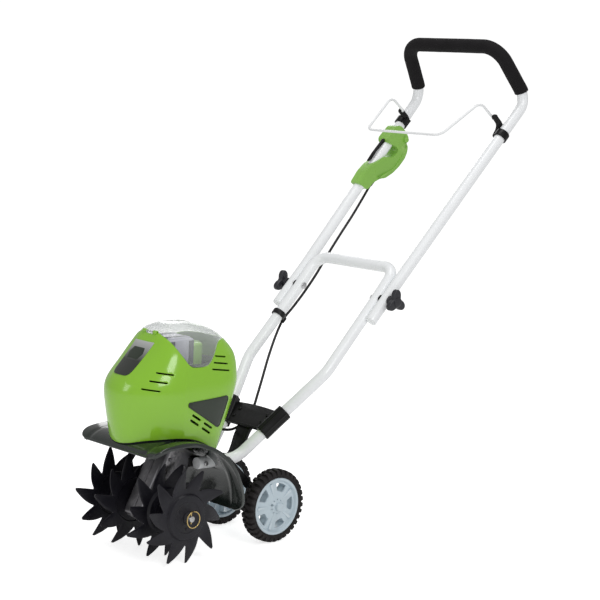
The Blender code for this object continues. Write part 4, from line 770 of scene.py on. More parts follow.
def prism(name, outline, half_width, edge=0.0):
    return slab(name, outline, 2 * half_width, SIDE_VIEW, edge)


def under_guard(distance):
    line = offset_outline(guard_line(), distance)
    return prism("foot_tool", [*line, (0.30, 0.0), (-0.30, 0.0), (-0.30, line[0][1])], 0.2)


def lid_tool(shrink):
    outline = fillet(LID_EDGE, 0.006)
    if shrink:
        moved = []
        for before, here, after in neighbours(outline):
            first, second = (here - before).normalized(), (after - here).normalized()
            normal = (Vector((-first.y, first.x)) + Vector((-second.y, second.x))).normalized()
            moved.append(tuple(here + normal * shrink))
        outline = moved
    return prism("lid_tool", outline, 0.2)


def slot_tool(y, z, half_length, tilt, half_height=NARROW_SLOT):
    place = Matrix.Translation(Vector((0.0, y, z))) @ Matrix.Rotation(math.radians(tilt), 4, "X")
    outline = [*arc((half_length - half_height, 0), half_height, -90, 90, 4),
               *arc((half_height - half_length, 0), half_height, 90, 270, 4)]
    return slab("slot", outline, 0.4, place @ SIDE_VIEW, 0.0)


def cable_entry(y):
    return (-0.0100, y, 0.2640)


def lid_axis_bar(name, reaches, radius, sides, edge=0.0008):
    return sweep(name, [LID_AXIS + ACROSS_X * x for x in reaches], radius, sides, edge)


def make_housing():
    shell = housing_skin("housing_shell", HOUSING_FOOT)
    carve(shell, [under_guard(0.0030), lid_tool(0.0)])
    slots = []
    for row in range(3):
        slots.append((-0.0350 - 0.0155 * row, 0.3955 - 0.0158 * row, 0.0160, -8.0))
        slots.append((0.1045 - 0.0017 * row, 0.4220 - 0.0135 * row, 0.0155 + 0.0050 * row, -8.0))
    for row in range(2):
        for column in range(2):
            slots.append((0.0340 + 0.0340 * column - 0.0040 * row,
                          0.3020 - 0.0205 * column - 0.0105 * row, 0.0145, -31.0, WIDE_SLOT))
    carve(shell, [merged("slots", *[slot_tool(*slot) for slot in slots])])
    hinge = lid_axis_bar("hinge_room", (-0.0112, 0.0112), 0.0049, 24)
    entry = sweep("entry_room", [cable_entry(0.105), cable_entry(0.20)], 0.0068, 24)
    carve(shell, [merged("rooms", hinge, entry)])
    lugs = [lid_axis_bar("lug", (sign * 0.0116, sign * 0.0225), 0.0042, 32) for _, sign in SIDES]
    ease(shell, 0.0005, 2, 50.0)
    shell = merged("housing_finished", shell, *lugs)
    dress(shell, GREEN, "motor_housing", sharp=32.0)

    skirt = housing_skin("housing_skirt", HOUSING_FOOT, 0.30, 20, 144, 0.0025, 0.0014)
    above = offset_outline(guard_line(), 0.0090)
    top = prism("skirt_top", [*above, (0.30, 0.60), (-0.30, 0.60)], 0.2)
    carve(skirt, [under_guard(0.0005), top])
    dress(skirt, BLACK, body="chassis", slot="black_plastic")

    gland = turned("cable_gland", [(0.0090, 0.0), (0.0090, 0.0030), (0.0060, 0.0070),
                                   (0.0032, 0.0075), (0.0032, 0.0)], 0.0012,
                   along(cable_entry(0.1360), cable_entry(0.20)), 32, True)
    dress(gland, BLACK, body="chassis", slot="black_plastic")


def make_lid():
    lid = housing_skin("lid_shell", 0.395, HOUSING_TOP, 56, 144, 0.0024)
    carve(lid, [lid_tool(0.0012)], "INTERSECT")
    ease(lid, 0.0006, 2, 50.0)
    knuckle = lid_axis_bar("knuckle", (-0.0104, 0.0104), 0.0042, 32)
    lip = slab("lip", fillet(rectangle(-0.016, 0.1320, 0.016, 0.1580), 0.004), 0.0036,
               Matrix.Translation((0, 0, 0.4580)), 0.0006)
    lid = merged("lid_finished", lid, knuckle, lip)
    dress(lid, CLEAR, "battery_lid", sharp=32.0)
    pin = lid_axis_bar("lid_pin_finished", (-0.0225, 0.0225), 0.0014, 20, 0.0004)
    dress(pin, STEEL, "lid_hinge_pin")


def skin_x(y, z, sign):
    """Where the housing's left (+1) or right (-1) side lies at a given y and z."""
    ring = housing_ring(z, 720)
    best = None
    for point, after in zip(ring, ring[1:] + ring[:1]):
        if point.x * sign <= 0:
            continue
        if (point.y - y) * (after.y - y) <= 0 and abs(after.y - point.y) > 1e-9:
            share = (y - point.y) / (after.y - point.y)
            best = point.x + (after.x - point.x) * share
    return best


def make_badges():
    outline = [*arc((0.0150, 0.3305), 0.006, 120, 240, 8),
               *arc((0.0960, 0.2830), 0.008, 240, 345, 8),
               *arc((0.1130, 0.3330), 0.008, -10, 95, 8)]
    dense = []
    for a, b in zip(outline, outline[1:] + outline[:1]):
        a, b = Vector(a), Vector(b)
        steps = max(1, math.ceil((b - a).length / 0.004))
        dense.extend(a + (b - a) * (k / steps) for k in range(steps))
    middle = sum(dense, Vector((0.0, 0.0))) / len(dense)
    for side, sign in SIDES:
        work = bmesh.new()
        rings = []
        layers = ((1.0, -0.0006), (1.0, 0.0013), (0.992, 0.0018), (0.965, 0.0018), (0.958, 0.0013),
                  (0.935, 0.0013), (0.928, 0.0017), (0.80, 0.0017), (0.62, 0.0017), (0.42, 0.0017),
                  (0.20, 0.0017))
        for share, lift in layers:
            ring = []
            for point in dense:
                at = middle + (point - middle) * share
                ring.append(work.verts.new((skin_x(at.x, at.y, sign) + sign * lift, at.x, at.y)))
            rings.append(ring)
        stitch(work, rings)
        work.faces.new(rings[-1])
        work.faces.new(rings[0])
        badge = add_mesh(f"side_badge_{side}_finished", work)
        dress(badge, BADGE, "side_badge_" + side, sharp=45.0)

    work = bmesh.new()
    rows, columns, layers = 40, 28, []
    half, top, bottom = 0.0300, 0.4505, 0.3860

    def on_front(x, z, lift):
        ring_half, front, centre, _, squareness = level_at(z)
        ahead = (1 - min(abs(x / ring_half), 1.0) ** squareness) ** (1 / squareness)
        skin = Vector((x, centre - ahead * (centre - front), z))
        return work.verts.new(skin + LABEL_OUT * lift)

    for lift in (0.0004, 0.0030):
        grid = []
        for row in range(rows + 1):
            share = row / rows
            z = top + (bottom - top) * share
            narrow = 1.0 - 0.14 * share
            if share > 0.82:
                narrow -= 0.30 * (1 - math.sqrt(max(0.0, 1 - ((share - 0.82) / 0.18) ** 2)))
            line = []
            for column in range(columns + 1):
                x = half * narrow * (2 * column / columns - 1)
                line.append(on_front(x, z, lift))
            grid.append(line)
        layers.append(grid)
    for grid in layers:
        for row in range(rows):
            for column in range(columns):
                work.faces.new((grid[row][column], grid[row][column + 1],
                                grid[row + 1][column + 1], grid[row + 1][column]))
    border = [(0, c) for c in range(columns)] + [(r, columns) for r in range(rows)]
    border += [(rows, c) for c in range(columns, 0, -1)] + [(r, 0) for r in range(rows, 0, -1)]
    for (r1, c1), (r2, c2) in zip(border, border[1:] + border[:1]):
        work.faces.new((layers[0][r1][c1], layers[0][r2][c2], layers[1][r2][c2],
                        layers[1][r1][c1]))
    bmesh.ops.recalc_face_normals(work, faces=work.faces[:])
    bevel_sharp(work, 0.0004, 2, 50.0)
    label = add_mesh("front_label_finished", work)
    dress(label, LABEL, "front_label_plate", sharp=45.0)
    work = bmesh.new()
    middle_z, rings = 0.4270, []
    for share, lift in ((1.0, 0.0024), (1.0, 0.0034), (0.95, 0.0037), (0.7, 0.0037), (0.35, 0.0037)):
        ring = []
        for x, z in fillet([(-0.0222, 0.0), (-0.0165, 0.0108), (0.0165, 0.0108), (0.0222, 0.0),
                            (0.0165, -0.0108), (-0.0165, -0.0108)], 0.0020, 3):
            ring.append(on_front(x * share, middle_z + z * share, lift))
        rings.append(ring)
    stitch(work, rings)
    work.faces.new(rings[0])
    work.faces.new(rings[-1])
    dress(add_mesh("front_label_patch", work), BADGE, body="chassis", slot="badge_plate", sharp=45.0)


def block(name, low, high, edge, segments=4):
    low, high = Vector(low), Vector(high)
    size = high - low
    x, y = size.x / 2, size.y / 2
    outline = fillet(rectangle(-x, -y, x, y), edge * 1.4, segments)
    return slab(name, outline, size.z, Matrix.Translation((low + high) / 2), edge * 0.7, segments)


def make_battery():
    refined("battery_bay", BLACK, 0.0005)
    refined("terminal_block", BLACK, 0.0005)
    pack = block("pack", (-0.0400, 0.0040, 0.3700), (0.0400, 0.0720, 0.4560), 0.006)
    cap = block("cap", (-0.0335, 0.0085, 0.4535), (0.0335, 0.0670, 0.4590), 0.004)
    dress(merged("battery_finished", pack, cap), PACK, "battery_pack")
    strips = []
    for _, sign in SIDES:
        x = sign * 0.0402
        for y in (0.0060, 0.0560):
            strips.append(block("strip", (x - 0.0008, y, 0.4020), (x + 0.0008, y + 0.0130, 0.4520),
                                0.0012))
        strips.append(block("strip", (sign * 0.021 - 0.006, 0.0090, 0.4570),
                            (sign * 0.021 + 0.006, 0.0660, 0.4598), 0.0012))
    dress(merged("battery_strips", *strips), PACK_DARK, body="chassis", slot="battery_case")
    latch = block("latch", (-0.0340, 0.0728, 0.3700), (0.0340, 0.1040, 0.4440), 0.009, 6)
    ridges = [block("ridge", (-0.022, 0.0790 + 0.0060 * k, 0.4430), (0.022, 0.0815 + 0.0060 * k, 0.4454),
                    0.0010) for k in range(4)]
    dress(merged("latch_finished", latch, *ridges), GREEN, "battery_latch")


# ---------------------------------------------------------------- tine guard
def make_guard():
    """A curved hood with a turned-down flange on both sides and a rolled front edge."""
    line = divided_2d(guard_line(), 0.005)
    count = len(line)
    half, lip, wall = 0.130, 0.0088, 0.0025
    normals = [guard_normal(line, k) for k in range(count)]
    work = bmesh.new()

    def column(offset_in, x_share, drop):
        made = []
        for k, (y, z) in enumerate(line):
            corner = min(k, count - 1 - k) * 0.005
            pull = 0.024 * (1 - math.sqrt(max(0.0, 1 - max(0.0, 1 - corner / 0.030) ** 2)))
            x = x_share * (half - pull)
            if abs(x_share) == 1.0:
                x -= math.copysign(offset_in, x_share)
            crease = 0.0022 * math.exp(-((abs(x) - 0.094) / 0.006) ** 2)
            made.append(work.verts.new((x, y - normals[k].x * (drop + crease),
                                        z - normals[k].y * (drop + crease))))
        return made

    shape = [(0.0, lip), (0.0, lip * 0.6), (0.0, 0.0024), (0.0007, 0.0009), (0.0022, 0.0001),
             (0.0042, 0.0)]
    columns = [column(inward, -1.0, drop) for inward, drop in shape]
    for k in range(-27, 28):
        columns.append(column(0.0, k / 28.5, 0.0))
    columns += [column(inward, 1.0, drop) for inward, drop in shape[::-1]]
    for one, other in zip(columns, columns[1:]):
        for k in range(count - 1):
            work.faces.new((one[k], other[k], other[k + 1], one[k + 1]))
    guard = add_mesh("guard_skin", work)
    step = guard.modifiers.new("wall", "SOLIDIFY")
    step.thickness, step.offset = wall, -1.0
    bake_in(guard)
    corner = frame_of(Vector((0.0, 0.0, 0.10164)), ACROSS_X, BACK_LEAN)
    room = slab("room", rectangle(-0.0385, -0.0640, 0.0385, 0.0410), 0.52,
                corner @ Matrix.Translation((0, 0, 0.04)), 0.0)
    legs = [sweep("leg_room", [(sign * 0.045, 0.09, 0.1885), (sign * 0.045, 0.165, 0.1885)], 0.0150,
                  32) for _, sign in SIDES]
    carve(guard, [room])
    carve(guard, legs)
    ease(guard, 0.0006, 2, 50.0)
    front = [(x, line[0][0] + 0.0012, line[0][1] + 0.0004) for x in
             [-0.106 + 0.212 * k / 30 for k in range(31)]]
    bead = sweep("bead", front, 0.0024, 16, 0.0012)
    dress(merged("guard_finished", guard, bead), DARK_GREEN, "tine_guard", sharp=40.0)


def divided_2d(points, spacing):
    path = divided([Vector((a, b, 0.0)) for a, b in points], spacing)
    total = [0.0]
    for a, b in zip(path, path[1:]):
        total.append(total[-1] + (b - a).length)
    count = round(total[-1] / spacing)
    made = []
    for k in range(count + 1):
        want = total[-1] * k / count
        i = max(j for j in range(len(total)) if total[j] <= want + 1e-12)
        i = min(i, len(path) - 2)
        share = (want - total[i]) / (total[i + 1] - total[i])
        point = path[i] + (path[i + 1] - path[i]) * share
        made.append((point.x, point.y))
    return made


# ---------------------------------------------------------------- gear case, motor and shaft
LEAN = math.radians(27.0)
SHAFT = Vector((0.0, 0.0, 0.1022 * math.cos(math.radians(6.0))))
UP_LEAN = Vector((0.0, math.sin(LEAN), math.cos(LEAN)))
BACK_LEAN = Vector((0.0, math.cos(LEAN), -math.sin(LEAN)))
CASE_FRAME = frame_of(SHAFT, BACK_LEAN, UP_LEAN)
SHAFT_END, PIN_PLACE = 0.1405, 0.1365       # out from the mid-plane


def leaning(up, back, x=0.0):
    return SHAFT + UP_LEAN * up + BACK_LEAN * back + Vector((x, 0.0, 0.0))


def shaft_face(sign, x):
    """Local Z outwards along the shaft, origin a distance x to the left or right."""
    return x_axis_at(SHAFT, sign * x) @ Matrix.Rotation(0.0 if sign > 0 else math.pi, 4, "X")


def make_gear_case():
    outline = fillet([(-0.038, 0.143), (-0.038, -0.037), (0.0171, -0.037), (0.038, -0.015),
                      (0.038, 0.143)], 0.012, 6)
    for side, sign in SIDES:
        middle = sign * 0.0151
        work = bmesh.new()
        half = slab("case", outline, 0.0297, Matrix.Translation((middle, 0, 0)) @ CASE_FRAME, 0.0)
        bake_in(half)
        work.from_mesh(half.data)
        bevel_sharp(work, 0.011, 6, 35.0,
                    lambda edge: all(vert.co.x * sign > 0.029 for vert in edge.verts))
        work.to_mesh(half.data)
        work.free()
        room = sweep("can_room", [leaning(0.1430, -0.0252), leaning(0.25, -0.0252)], 0.033, 40)
        carve(half, [room])
        seam = slab("seam", offset_outline_closed(outline, 0.0014), 0.0030,
                    Matrix.Translation((sign * 0.0016, 0, 0)) @ CASE_FRAME, 0.0006)
        boss = turned("boss", [(0.0, 0.0), (0.0195, 0.0), (0.0195, 0.0022), (0.0150, 0.0045),
                               (0.0085, 0.0045), (0.0085, 0.0030), (0.0, 0.0030)], 0.0010,
                      shaft_face(sign, 0.0288), 48)
        screws = [turned("screw", [(0.0, 0.0), (0.0042, 0.0), (0.0042, 0.0018), (0.0026, 0.0030),
                                   (0.0, 0.0030)], 0.0008,
                         facing(leaning(up, back, sign * 0.0296), sign), 20)
                  for up, back in ((-0.020, -0.020), (0.045, -0.022), (0.045, 0.022),
                                   (0.100, 0.022), (0.100, -0.022), (-0.010, 0.022))]
        ears = slab("ear", case_ear(), 0.022, Matrix.Translation((sign * 0.039, 0, 0)) @ SIDE_VIEW,
                    0.0010)
        lug = block("lug", (min(sign * 0.0002, sign * 0.0318), 0.076, 0.1788),
                    (max(sign * 0.0002, sign * 0.0318), 0.109, 0.1988), 0.0015, 2)
        dress(merged(f"gear_case_{side}_finished", half, seam, boss, *screws), CAST,
              "gear_case_" + side, sharp=35.0)
        dress(merged(f"case_ears_{side}", ears, lug), BLACK, body="chassis", slot="black_plastic")
        refined("shaft_bearing_" + side, STEEL, 0.0004)


def offset_outline_closed(points, distance):
    made = []
    for before, here, after in neighbours(points):
        run = (after - before).normalized()
        made.append(tuple(here + Vector((run.y, -run.x)) * distance))
    return made


def case_ear():
    under = offset_outline(guard_line(), -0.0030)
    top = [p for p in under if 0.014 < p[0] < 0.060]
    return [*top, (top[-1][0] - 0.002, top[-1][1] - 0.012), (top[0][0] + 0.006, top[0][1] - 0.022)]


def make_motor():
    for node, finish in (("motor_can", STEEL), ("armature", COPPER), ("cooling_fan", BLACK),
                         ("motor_shaft", STEEL), ("worm_wheel", BRONZE)):
        refined(node, finish, 0.0002, 1)


def make_shaft():
    shaft = sweep("tine_shaft_finished", [SHAFT - ACROSS_X * SHAFT_END, SHAFT + ACROSS_X * SHAFT_END],
                  0.0065, 48, 0.0010)
    holes = [sweep("hole", [SHAFT + Vector((sign * PIN_PLACE, 0, z)) for z in (-0.02, 0.02)], 0.0018,
                   20) for _, sign in SIDES]
    carve(shaft, holes)
    dimples = [lathe("centre", [(0.0, -0.0016), (0.0022, 0.0001), (0.0028, 0.0001), (0.0028, -0.001),
                                (0.0, -0.0022)], shaft_face(sign, 0.1404), 24) for _, sign in SIDES]
    dress(merged("shaft_finished", shaft, *dimples), STEEL, "tine_shaft")
    for side, sign in SIDES:
        x, ring_x = sign * PIN_PLACE, sign * 0.1440
        path = smooth_route([*((x, 0.0, z) for z in (-0.0110, 0.0, 0.0105, 0.0150)),
                             (ring_x, 0.0006, 0.0170)], 4)
        turn = [Vector((ring_x, 0.0165 * math.sin(a), 0.0170 * math.cos(a)))
                for a in [math.radians(10 + 334 * k / 72) for k in range(73)]]
        pin = sweep(f"hitch_pin_{side}_finished", [p + SHAFT for p in path + turn], 0.0012, 12,
                    0.0005)
        dress(pin, GOLD, "hitch_pin_" + side)


# ---------------------------------------------------------------- tines
TIP_RADIUS, ROOT_RADIUS, BOSS_RADIUS = 0.1022, 0.060, 0.0485
TEETH, TOOTH_STEP, TOOTH_BEND = 10, 36.0, 0.0080     # step in degrees, bend in metres


def tooth_side(radius, side):
    """Angle in degrees of a tooth's leading (-1) or trailing (+1) side at a radius."""
    share = (TIP_RADIUS - radius) / (TIP_RADIUS - ROOT_RADIUS)
    if side < 0:
        return -0.7 - 2.3 * share ** 0.8
    return 1.9 + 29.1 * share ** 1.15


def make_tine(node, plane, outward, hub_out, hub_in):
    """A star tine with ten hooked teeth, a raised boss and a hub on each face."""
    across, valley, phase = 8, 3, 276.0
    half = 0.00185
    lead, trail = tooth_side(ROOT_RADIUS, -1), tooth_side(ROOT_RADIUS, 1)
    angles = []
    for tooth in range(TEETH):
        for k in range(across + 1):
            angles.append(TOOTH_STEP * tooth + lead + (trail - lead) * k / across)
        gap = TOOTH_STEP - (trail - lead)
        for k in range(1, valley):
            angles.append(TOOTH_STEP * tooth + trail + gap * k / valley)
    count = len(angles)
    work = bmesh.new()

    def ring(radius, x):
        return [work.verts.new((x, *polar(radius, math.radians(phase + a)))) for a in angles]

    top = 0.0080
    near = [ring(r, x) for r, x in (
        (ROOT_RADIUS, half), (0.0535, half), (BOSS_RADIUS + 0.0012, half + 0.0003),
        (BOSS_RADIUS, half + 0.0014), (BOSS_RADIUS - 0.0012, top - 0.0012),
        (BOSS_RADIUS - 0.0022, top - 0.0003), (BOSS_RADIUS - 0.0040, top), (0.0330, top + 0.0004),
        (0.0320, top - 0.0006), (0.0240, top - 0.0008), (0.0150, top - 0.0008),
        (0.0136, top), (0.0128, hub_out - 0.0008), (0.0120, hub_out), (0.0068, hub_out))]
    far = [ring(r, x) for r, x in (
        (ROOT_RADIUS, -half), (0.0475, -half), (0.0455, -half + 0.0022), (0.0300, -half + 0.0022),
        (0.0200, -half), (0.0150, -half - 0.0005), (0.0136, -half - 0.0020),
        (0.0125, -hub_in), (0.0068, -hub_in))]
    stitch(work, near + far[::-1])
    per = across + valley
    radii = [0.0625, 0.0655, 0.0690, 0.0730, 0.0775, 0.0820, 0.0865, 0.0905, 0.0945, 0.0980, 0.1006]
    for tooth in range(TEETH):
        bend = TOOTH_BEND if tooth % 2 else -TOOTH_BEND
        faces = []
        for sign, base in ((1.0, near[0]), (-1.0, far[0])):
            rows = [base[tooth * per:tooth * per + across + 1]]
            for radius in radii:
                share = (radius - ROOT_RADIUS) / (TIP_RADIUS - ROOT_RADIUS)
                lean = bend * share ** 1.5
                thick = half * (1.0 - 0.45 * share ** 2)
                row = []
                for k in range(across + 1):
                    where = k / across
                    a = tooth_side(radius, -1) + (tooth_side(radius, 1)
                                                  - tooth_side(radius, -1)) * where
                    edge = 1.0 - 0.62 * abs(2 * where - 1) ** 7
                    a = math.radians(phase + TOOTH_STEP * tooth + a)
                    row.append(work.verts.new((sign * thick * edge + lean, *polar(radius, a))))
                rows.append(row)
            a = math.radians(phase + TOOTH_STEP * tooth)
            tip = work.verts.new((sign * half * 0.35 + bend, *polar(TIP_RADIUS - 0.0004, a)))
            faces.append((rows, tip))
        for rows, tip in faces:
            for one, other in zip(rows, rows[1:]):
                for k in range(across):
                    work.faces.new((one[k], one[k + 1], other[k + 1], other[k]))
            for k in range(across):
                work.faces.new((rows[-1][k], rows[-1][k + 1], tip))
        (rows_a, tip_a), (rows_b, tip_b) = faces
        for k in (0, across):
            line_a = [row[k] for row in rows_a] + [tip_a]
            line_b = [row[k] for row in rows_b] + [tip_b]
            for a, b, c, d in zip(line_a, line_b, line_b[1:], line_a[1:]):
                work.faces.new((a, b, c, d))
        for k in range(valley):
            i = tooth * per + across + k
            j = (i + 1) % count
            work.faces.new((near[0][i], near[0][j], far[0][j], far[0][i]))
    tine = add_mesh("star", work)
    rivets = []
    for k in range(3):
        a = math.radians(25 + 120 * k)
        rivets.append(turned("rivet", [(0.0, 0.0), (0.0030, 0.0), (0.0030, 0.0008), (0.0018, 0.0016),
                                       (0.0, 0.0016)], 0.0006,
                             facing((top - 0.0009, *polar(0.0235, a))), 16))
    tine = merged(node + "_finished", tine, *rivets)
    if outward < 0:
        tine.data.transform(Matrix.Scale(-1.0, 4, ACROSS_X))
        tine.data.flip_normals()
    tine.data.transform(Matrix.Translation(SHAFT + ACROSS_X * plane))
    dress(tine, TINE, node, sharp=32.0)


def make_tines():
    for side, sign in SIDES:
        make_tine("tine_inner_" + side, sign * 0.052, sign, 0.0325, 0.0195)
        make_tine("tine_outer_" + side, sign * 0.118, sign, 0.0120, 0.0330)


# ---------------------------------------------------------------- handles
TUBE_RADIUS = 0.0127
FOLD = Vector((0.0, 0.5245, 0.5250))
BAIL = Vector((0.0, 0.862, 0.935))
UPPER_X, LOWER_X, LEG_X = 0.1512, 0.1245, 0.045
GRIP_RADIUS, SLEEVE_BORE = 0.01655, 0.0129
KNOB_RADIUS, LOBE_HEIGHT = 0.0205, 0.0075
WIRE_RADIUS = CABLE_RADIUS = 0.003
LEG_BOLT = Vector((0.0, 0.100, 0.1888))
YOKE_PIVOT = Vector((0.0, 0.158, 0.1878))


def mirrored(half, radii):
    other = [(-x, y, z) for x, y, z in half]
    return rounded(half + other[::-1], radii)


def lower_path():
    half = [(LEG_X, 0.0850, 0.1888), (LEG_X, 0.1985, 0.1865), (0.0735, 0.2720, 0.2590),
            (0.1260, 0.3760, 0.3695), (LOWER_X, 0.5245, 0.5255), (LOWER_X, 0.5810, 0.5900)]
    return mirrored(half, (0.055, 0.200, 0.090, 0.500, 0.034, 0.034, 0.500, 0.090, 0.200, 0.055))


def upper_path():
    half = [(UPPER_X, 0.4810, 0.4795), (UPPER_X, 0.5650, 0.5670), (0.168, 0.950, 0.9770),
            (0.1425, 0.863, 1.0970)]
    return mirrored(half, (0.300, 0.040, 0.052, 0.052, 0.040, 0.300))


def make_handles():
    for part, path in (("lower", lower_path()), ("upper", upper_path())):
        tube = sweep(part + "_tube", divided(path, 0.012), TUBE_RADIUS, 56, 0.0012)
        dress(tube, WHITE, part + "_handle", sharp=50.0)


def make_grip():
    """A foam sleeve: slightly uneven, softly rounded and a little proud at its ends."""
    path = [p for p in divided(upper_path(), 0.004) if p.z > 0.9915]

    def shape(share, angle):
        wave = noise.noise(Vector((share * 26.0, math.cos(angle) * 0.9, math.sin(angle) * 0.9)))
        end = math.exp(-min(share, 1 - share) / 0.006)
        return 1.0 + 0.016 * wave + 0.012 * end

    foam = sweep("foam_grip_finished", path, GRIP_RADIUS, 64, 0.0026, bore=SLEEVE_BORE,
                 shape=shape)
    dress(foam, FOAM, "foam_grip", sharp=60.0)


def make_knobs():
    for side, sign in SIDES:
        outline = []
        for k in range(90):
            angle = 2 * math.pi * k / 90
            outline.append(polar(KNOB_RADIUS + LOBE_HEIGHT * math.cos(3 * angle), angle))
        inner = sign * (UPPER_X + TUBE_RADIUS + 0.0008)
        lobes = slab("lobes", outline, 0.0130,
                     frame_of(FOLD + ACROSS_X * sign * (UPPER_X + TUBE_RADIUS + 0.0190), (0, 0, 1),
                              (0, -1, 0)), 0.0034, 6)
        cap = turned("cap", [(0.0, 0.0), (0.0110, 0.0), (0.0110, 0.0014), (0.0080, 0.0026),
                             (0.0, 0.0030)], 0.0010,
                     facing(FOLD + ACROSS_X * (inner + sign * 0.0243), sign), 48)
        stem = turned("stem", [(0.0045, 0.0), (0.0118, 0.0), (0.0118, 0.0020), (0.0098, 0.0036),
                               (0.0098, 0.0120), (0.0045, 0.0120)], 0.0008,
                      facing(FOLD + ACROSS_X * inner, sign), 48, True)
        dress(merged(f"knob_{side}_finished", lobes, cap, stem), KNOB, "fold_knob_" + side)
        head = FOLD + ACROSS_X * sign * (LOWER_X - TUBE_RADIUS - 0.0006)
        bolt = turned("bolt", [(0.0, -0.0035), (0.0040, -0.0035), (0.0075, -0.0018), (0.0075, 0.0),
                               (0.0030, 0.0), (0.0030, 0.0512), (0.0, 0.0512)], 0.0008,
                      facing(head, sign), 40)
        dress(merged(f"bolt_{side}_finished", bolt), STEEL, "fold_bolt_" + side)
        saddle = turned("saddle", rectangle(0.0036, -0.0006, 0.0100, 0.0006), 0.0003,
                        facing(FOLD + ACROSS_X * sign * 0.13785, sign), 40, True)
        dress(saddle, BLACK, body="chassis", slot="black_plastic")


# ---------------------------------------------------------------- bail and its clamps
def make_bail():
    half = [(0.1490, 0.862, 0.935), (0.1410, 0.862, 0.935), (0.1405, 0.817, 0.9680),
            (0.1165, 0.712, 0.8895)]
    bends = (0.006, 0.026, 0.022, 0.022, 0.026, 0.006)
    wire = sweep("bail_finished", divided(mirrored(half, bends), 0.006), WIRE_RADIUS, 24, 0.0008)
    dress(wire, WIRE_WHITE, "bail", sharp=50.0)
    for side, sign in SIDES:
        make_bail_bracket(side, sign)


def tube_axis(share, sign=1.0):
    low, high = Vector((UPPER_X, 0.5650, 0.5670)), Vector((0.168, 0.950, 0.9770))
    point = low + (high - low) * share
    return Vector((point.x * sign, point.y, point.z))


def tube_frame(share, sign):
    run = (tube_axis(1.0, sign) - tube_axis(0.0, sign)).normalized()
    back = run.cross(ACROSS_X)
    return frame_of(tube_axis(share, sign), back if back.y > 0 else -back, run)


def make_bail_bracket(side, sign):
    """A clamp round the tube with a curved arm that hooks over the bail's end."""
    place = tube_frame(0.795 if sign > 0 else 0.830, sign)
    centre, run = place.translation, place.col[1].to_3d()
    bore = TUBE_RADIUS + 0.0002
    upright = Matrix.Translation(centre) @ run.to_track_quat("Z", "Y").to_matrix().to_4x4()
    ring = turned("ring", [(bore + 0.0034, 0.009), (bore + 0.0034, -0.009), (bore, -0.009),
                           (bore, 0.009)], 0.0012, upright, 56, True)
    middle = 0.1492
    reach = place.inverted() @ (BAIL + ACROSS_X * sign * middle)
    tip = (reach.x, reach.y)
    arm = fillet([(-0.0085, -0.0090), (0.0050, -0.0090), (0.0060, 0.0130),
                  (0.0020, tip[1] + 0.0050), (-0.0110, tip[1] + 0.0085),
                  (tip[0] - 0.0065, tip[1] + 0.0060), (tip[0] - 0.0065, tip[1] - 0.0055),
                  (-0.0170, tip[1] - 0.0055), (-0.0110, 0.0100)], 0.0050, 6)
    flat = frame_of(Vector((sign * middle, centre.y, centre.z)), place.col[0].to_3d(),
                    Vector((0.0, run.y, run.z)))
    plate = slab("arm", arm, 0.0068, flat, 0.0012)
    carve(plate, [sweep("bore", [centre - run * 0.05, centre + run * 0.05], bore, 56)])
    washer = turned("eye", rectangle(0.0032, -0.0042, 0.0064, 0.0042), 0.0008,
                    x_axis_at(BAIL, sign * 0.1488), 32, True)
    dress(merged(f"bail_bracket_{side}_finished", ring, plate, washer), BLACK,
          "bail_bracket_" + side)


# ---------------------------------------------------------------- switch box
BOX_FRAME = tube_frame(0.615, -1.0)
BOX_OUTLINE = (
    (-0.0175, -0.0980), (0.0178, -0.0880), (0.0205, -0.0620), (0.0300, -0.0400),
    (0.0410, -0.0280), (0.0520, 0.0000), (0.0570, 0.0260), (0.0580, 0.0520), (0.0550, 0.0720),
    (0.0480, 0.0830), (0.0370, 0.0860), (0.0370, 0.0930), (0.0330, 0.1010), (0.0150, 0.1040),
    (-0.0080, 0.1010), (-0.0190, 0.0910), (-0.0205, 0.0690), (-0.0205, 0.0470),
    (-0.0120, 0.0410), (0.0180, 0.0530), (0.0260, 0.0520), (0.0280, 0.0410), (0.0240, 0.0250),
    (0.0010, 0.0060), (-0.0140, -0.0330), (-0.0200, -0.0600),
)


def box_point(back, up, x=0.0):
    return BOX_FRAME @ Vector((back, up, 0.0)) + ACROSS_X * x


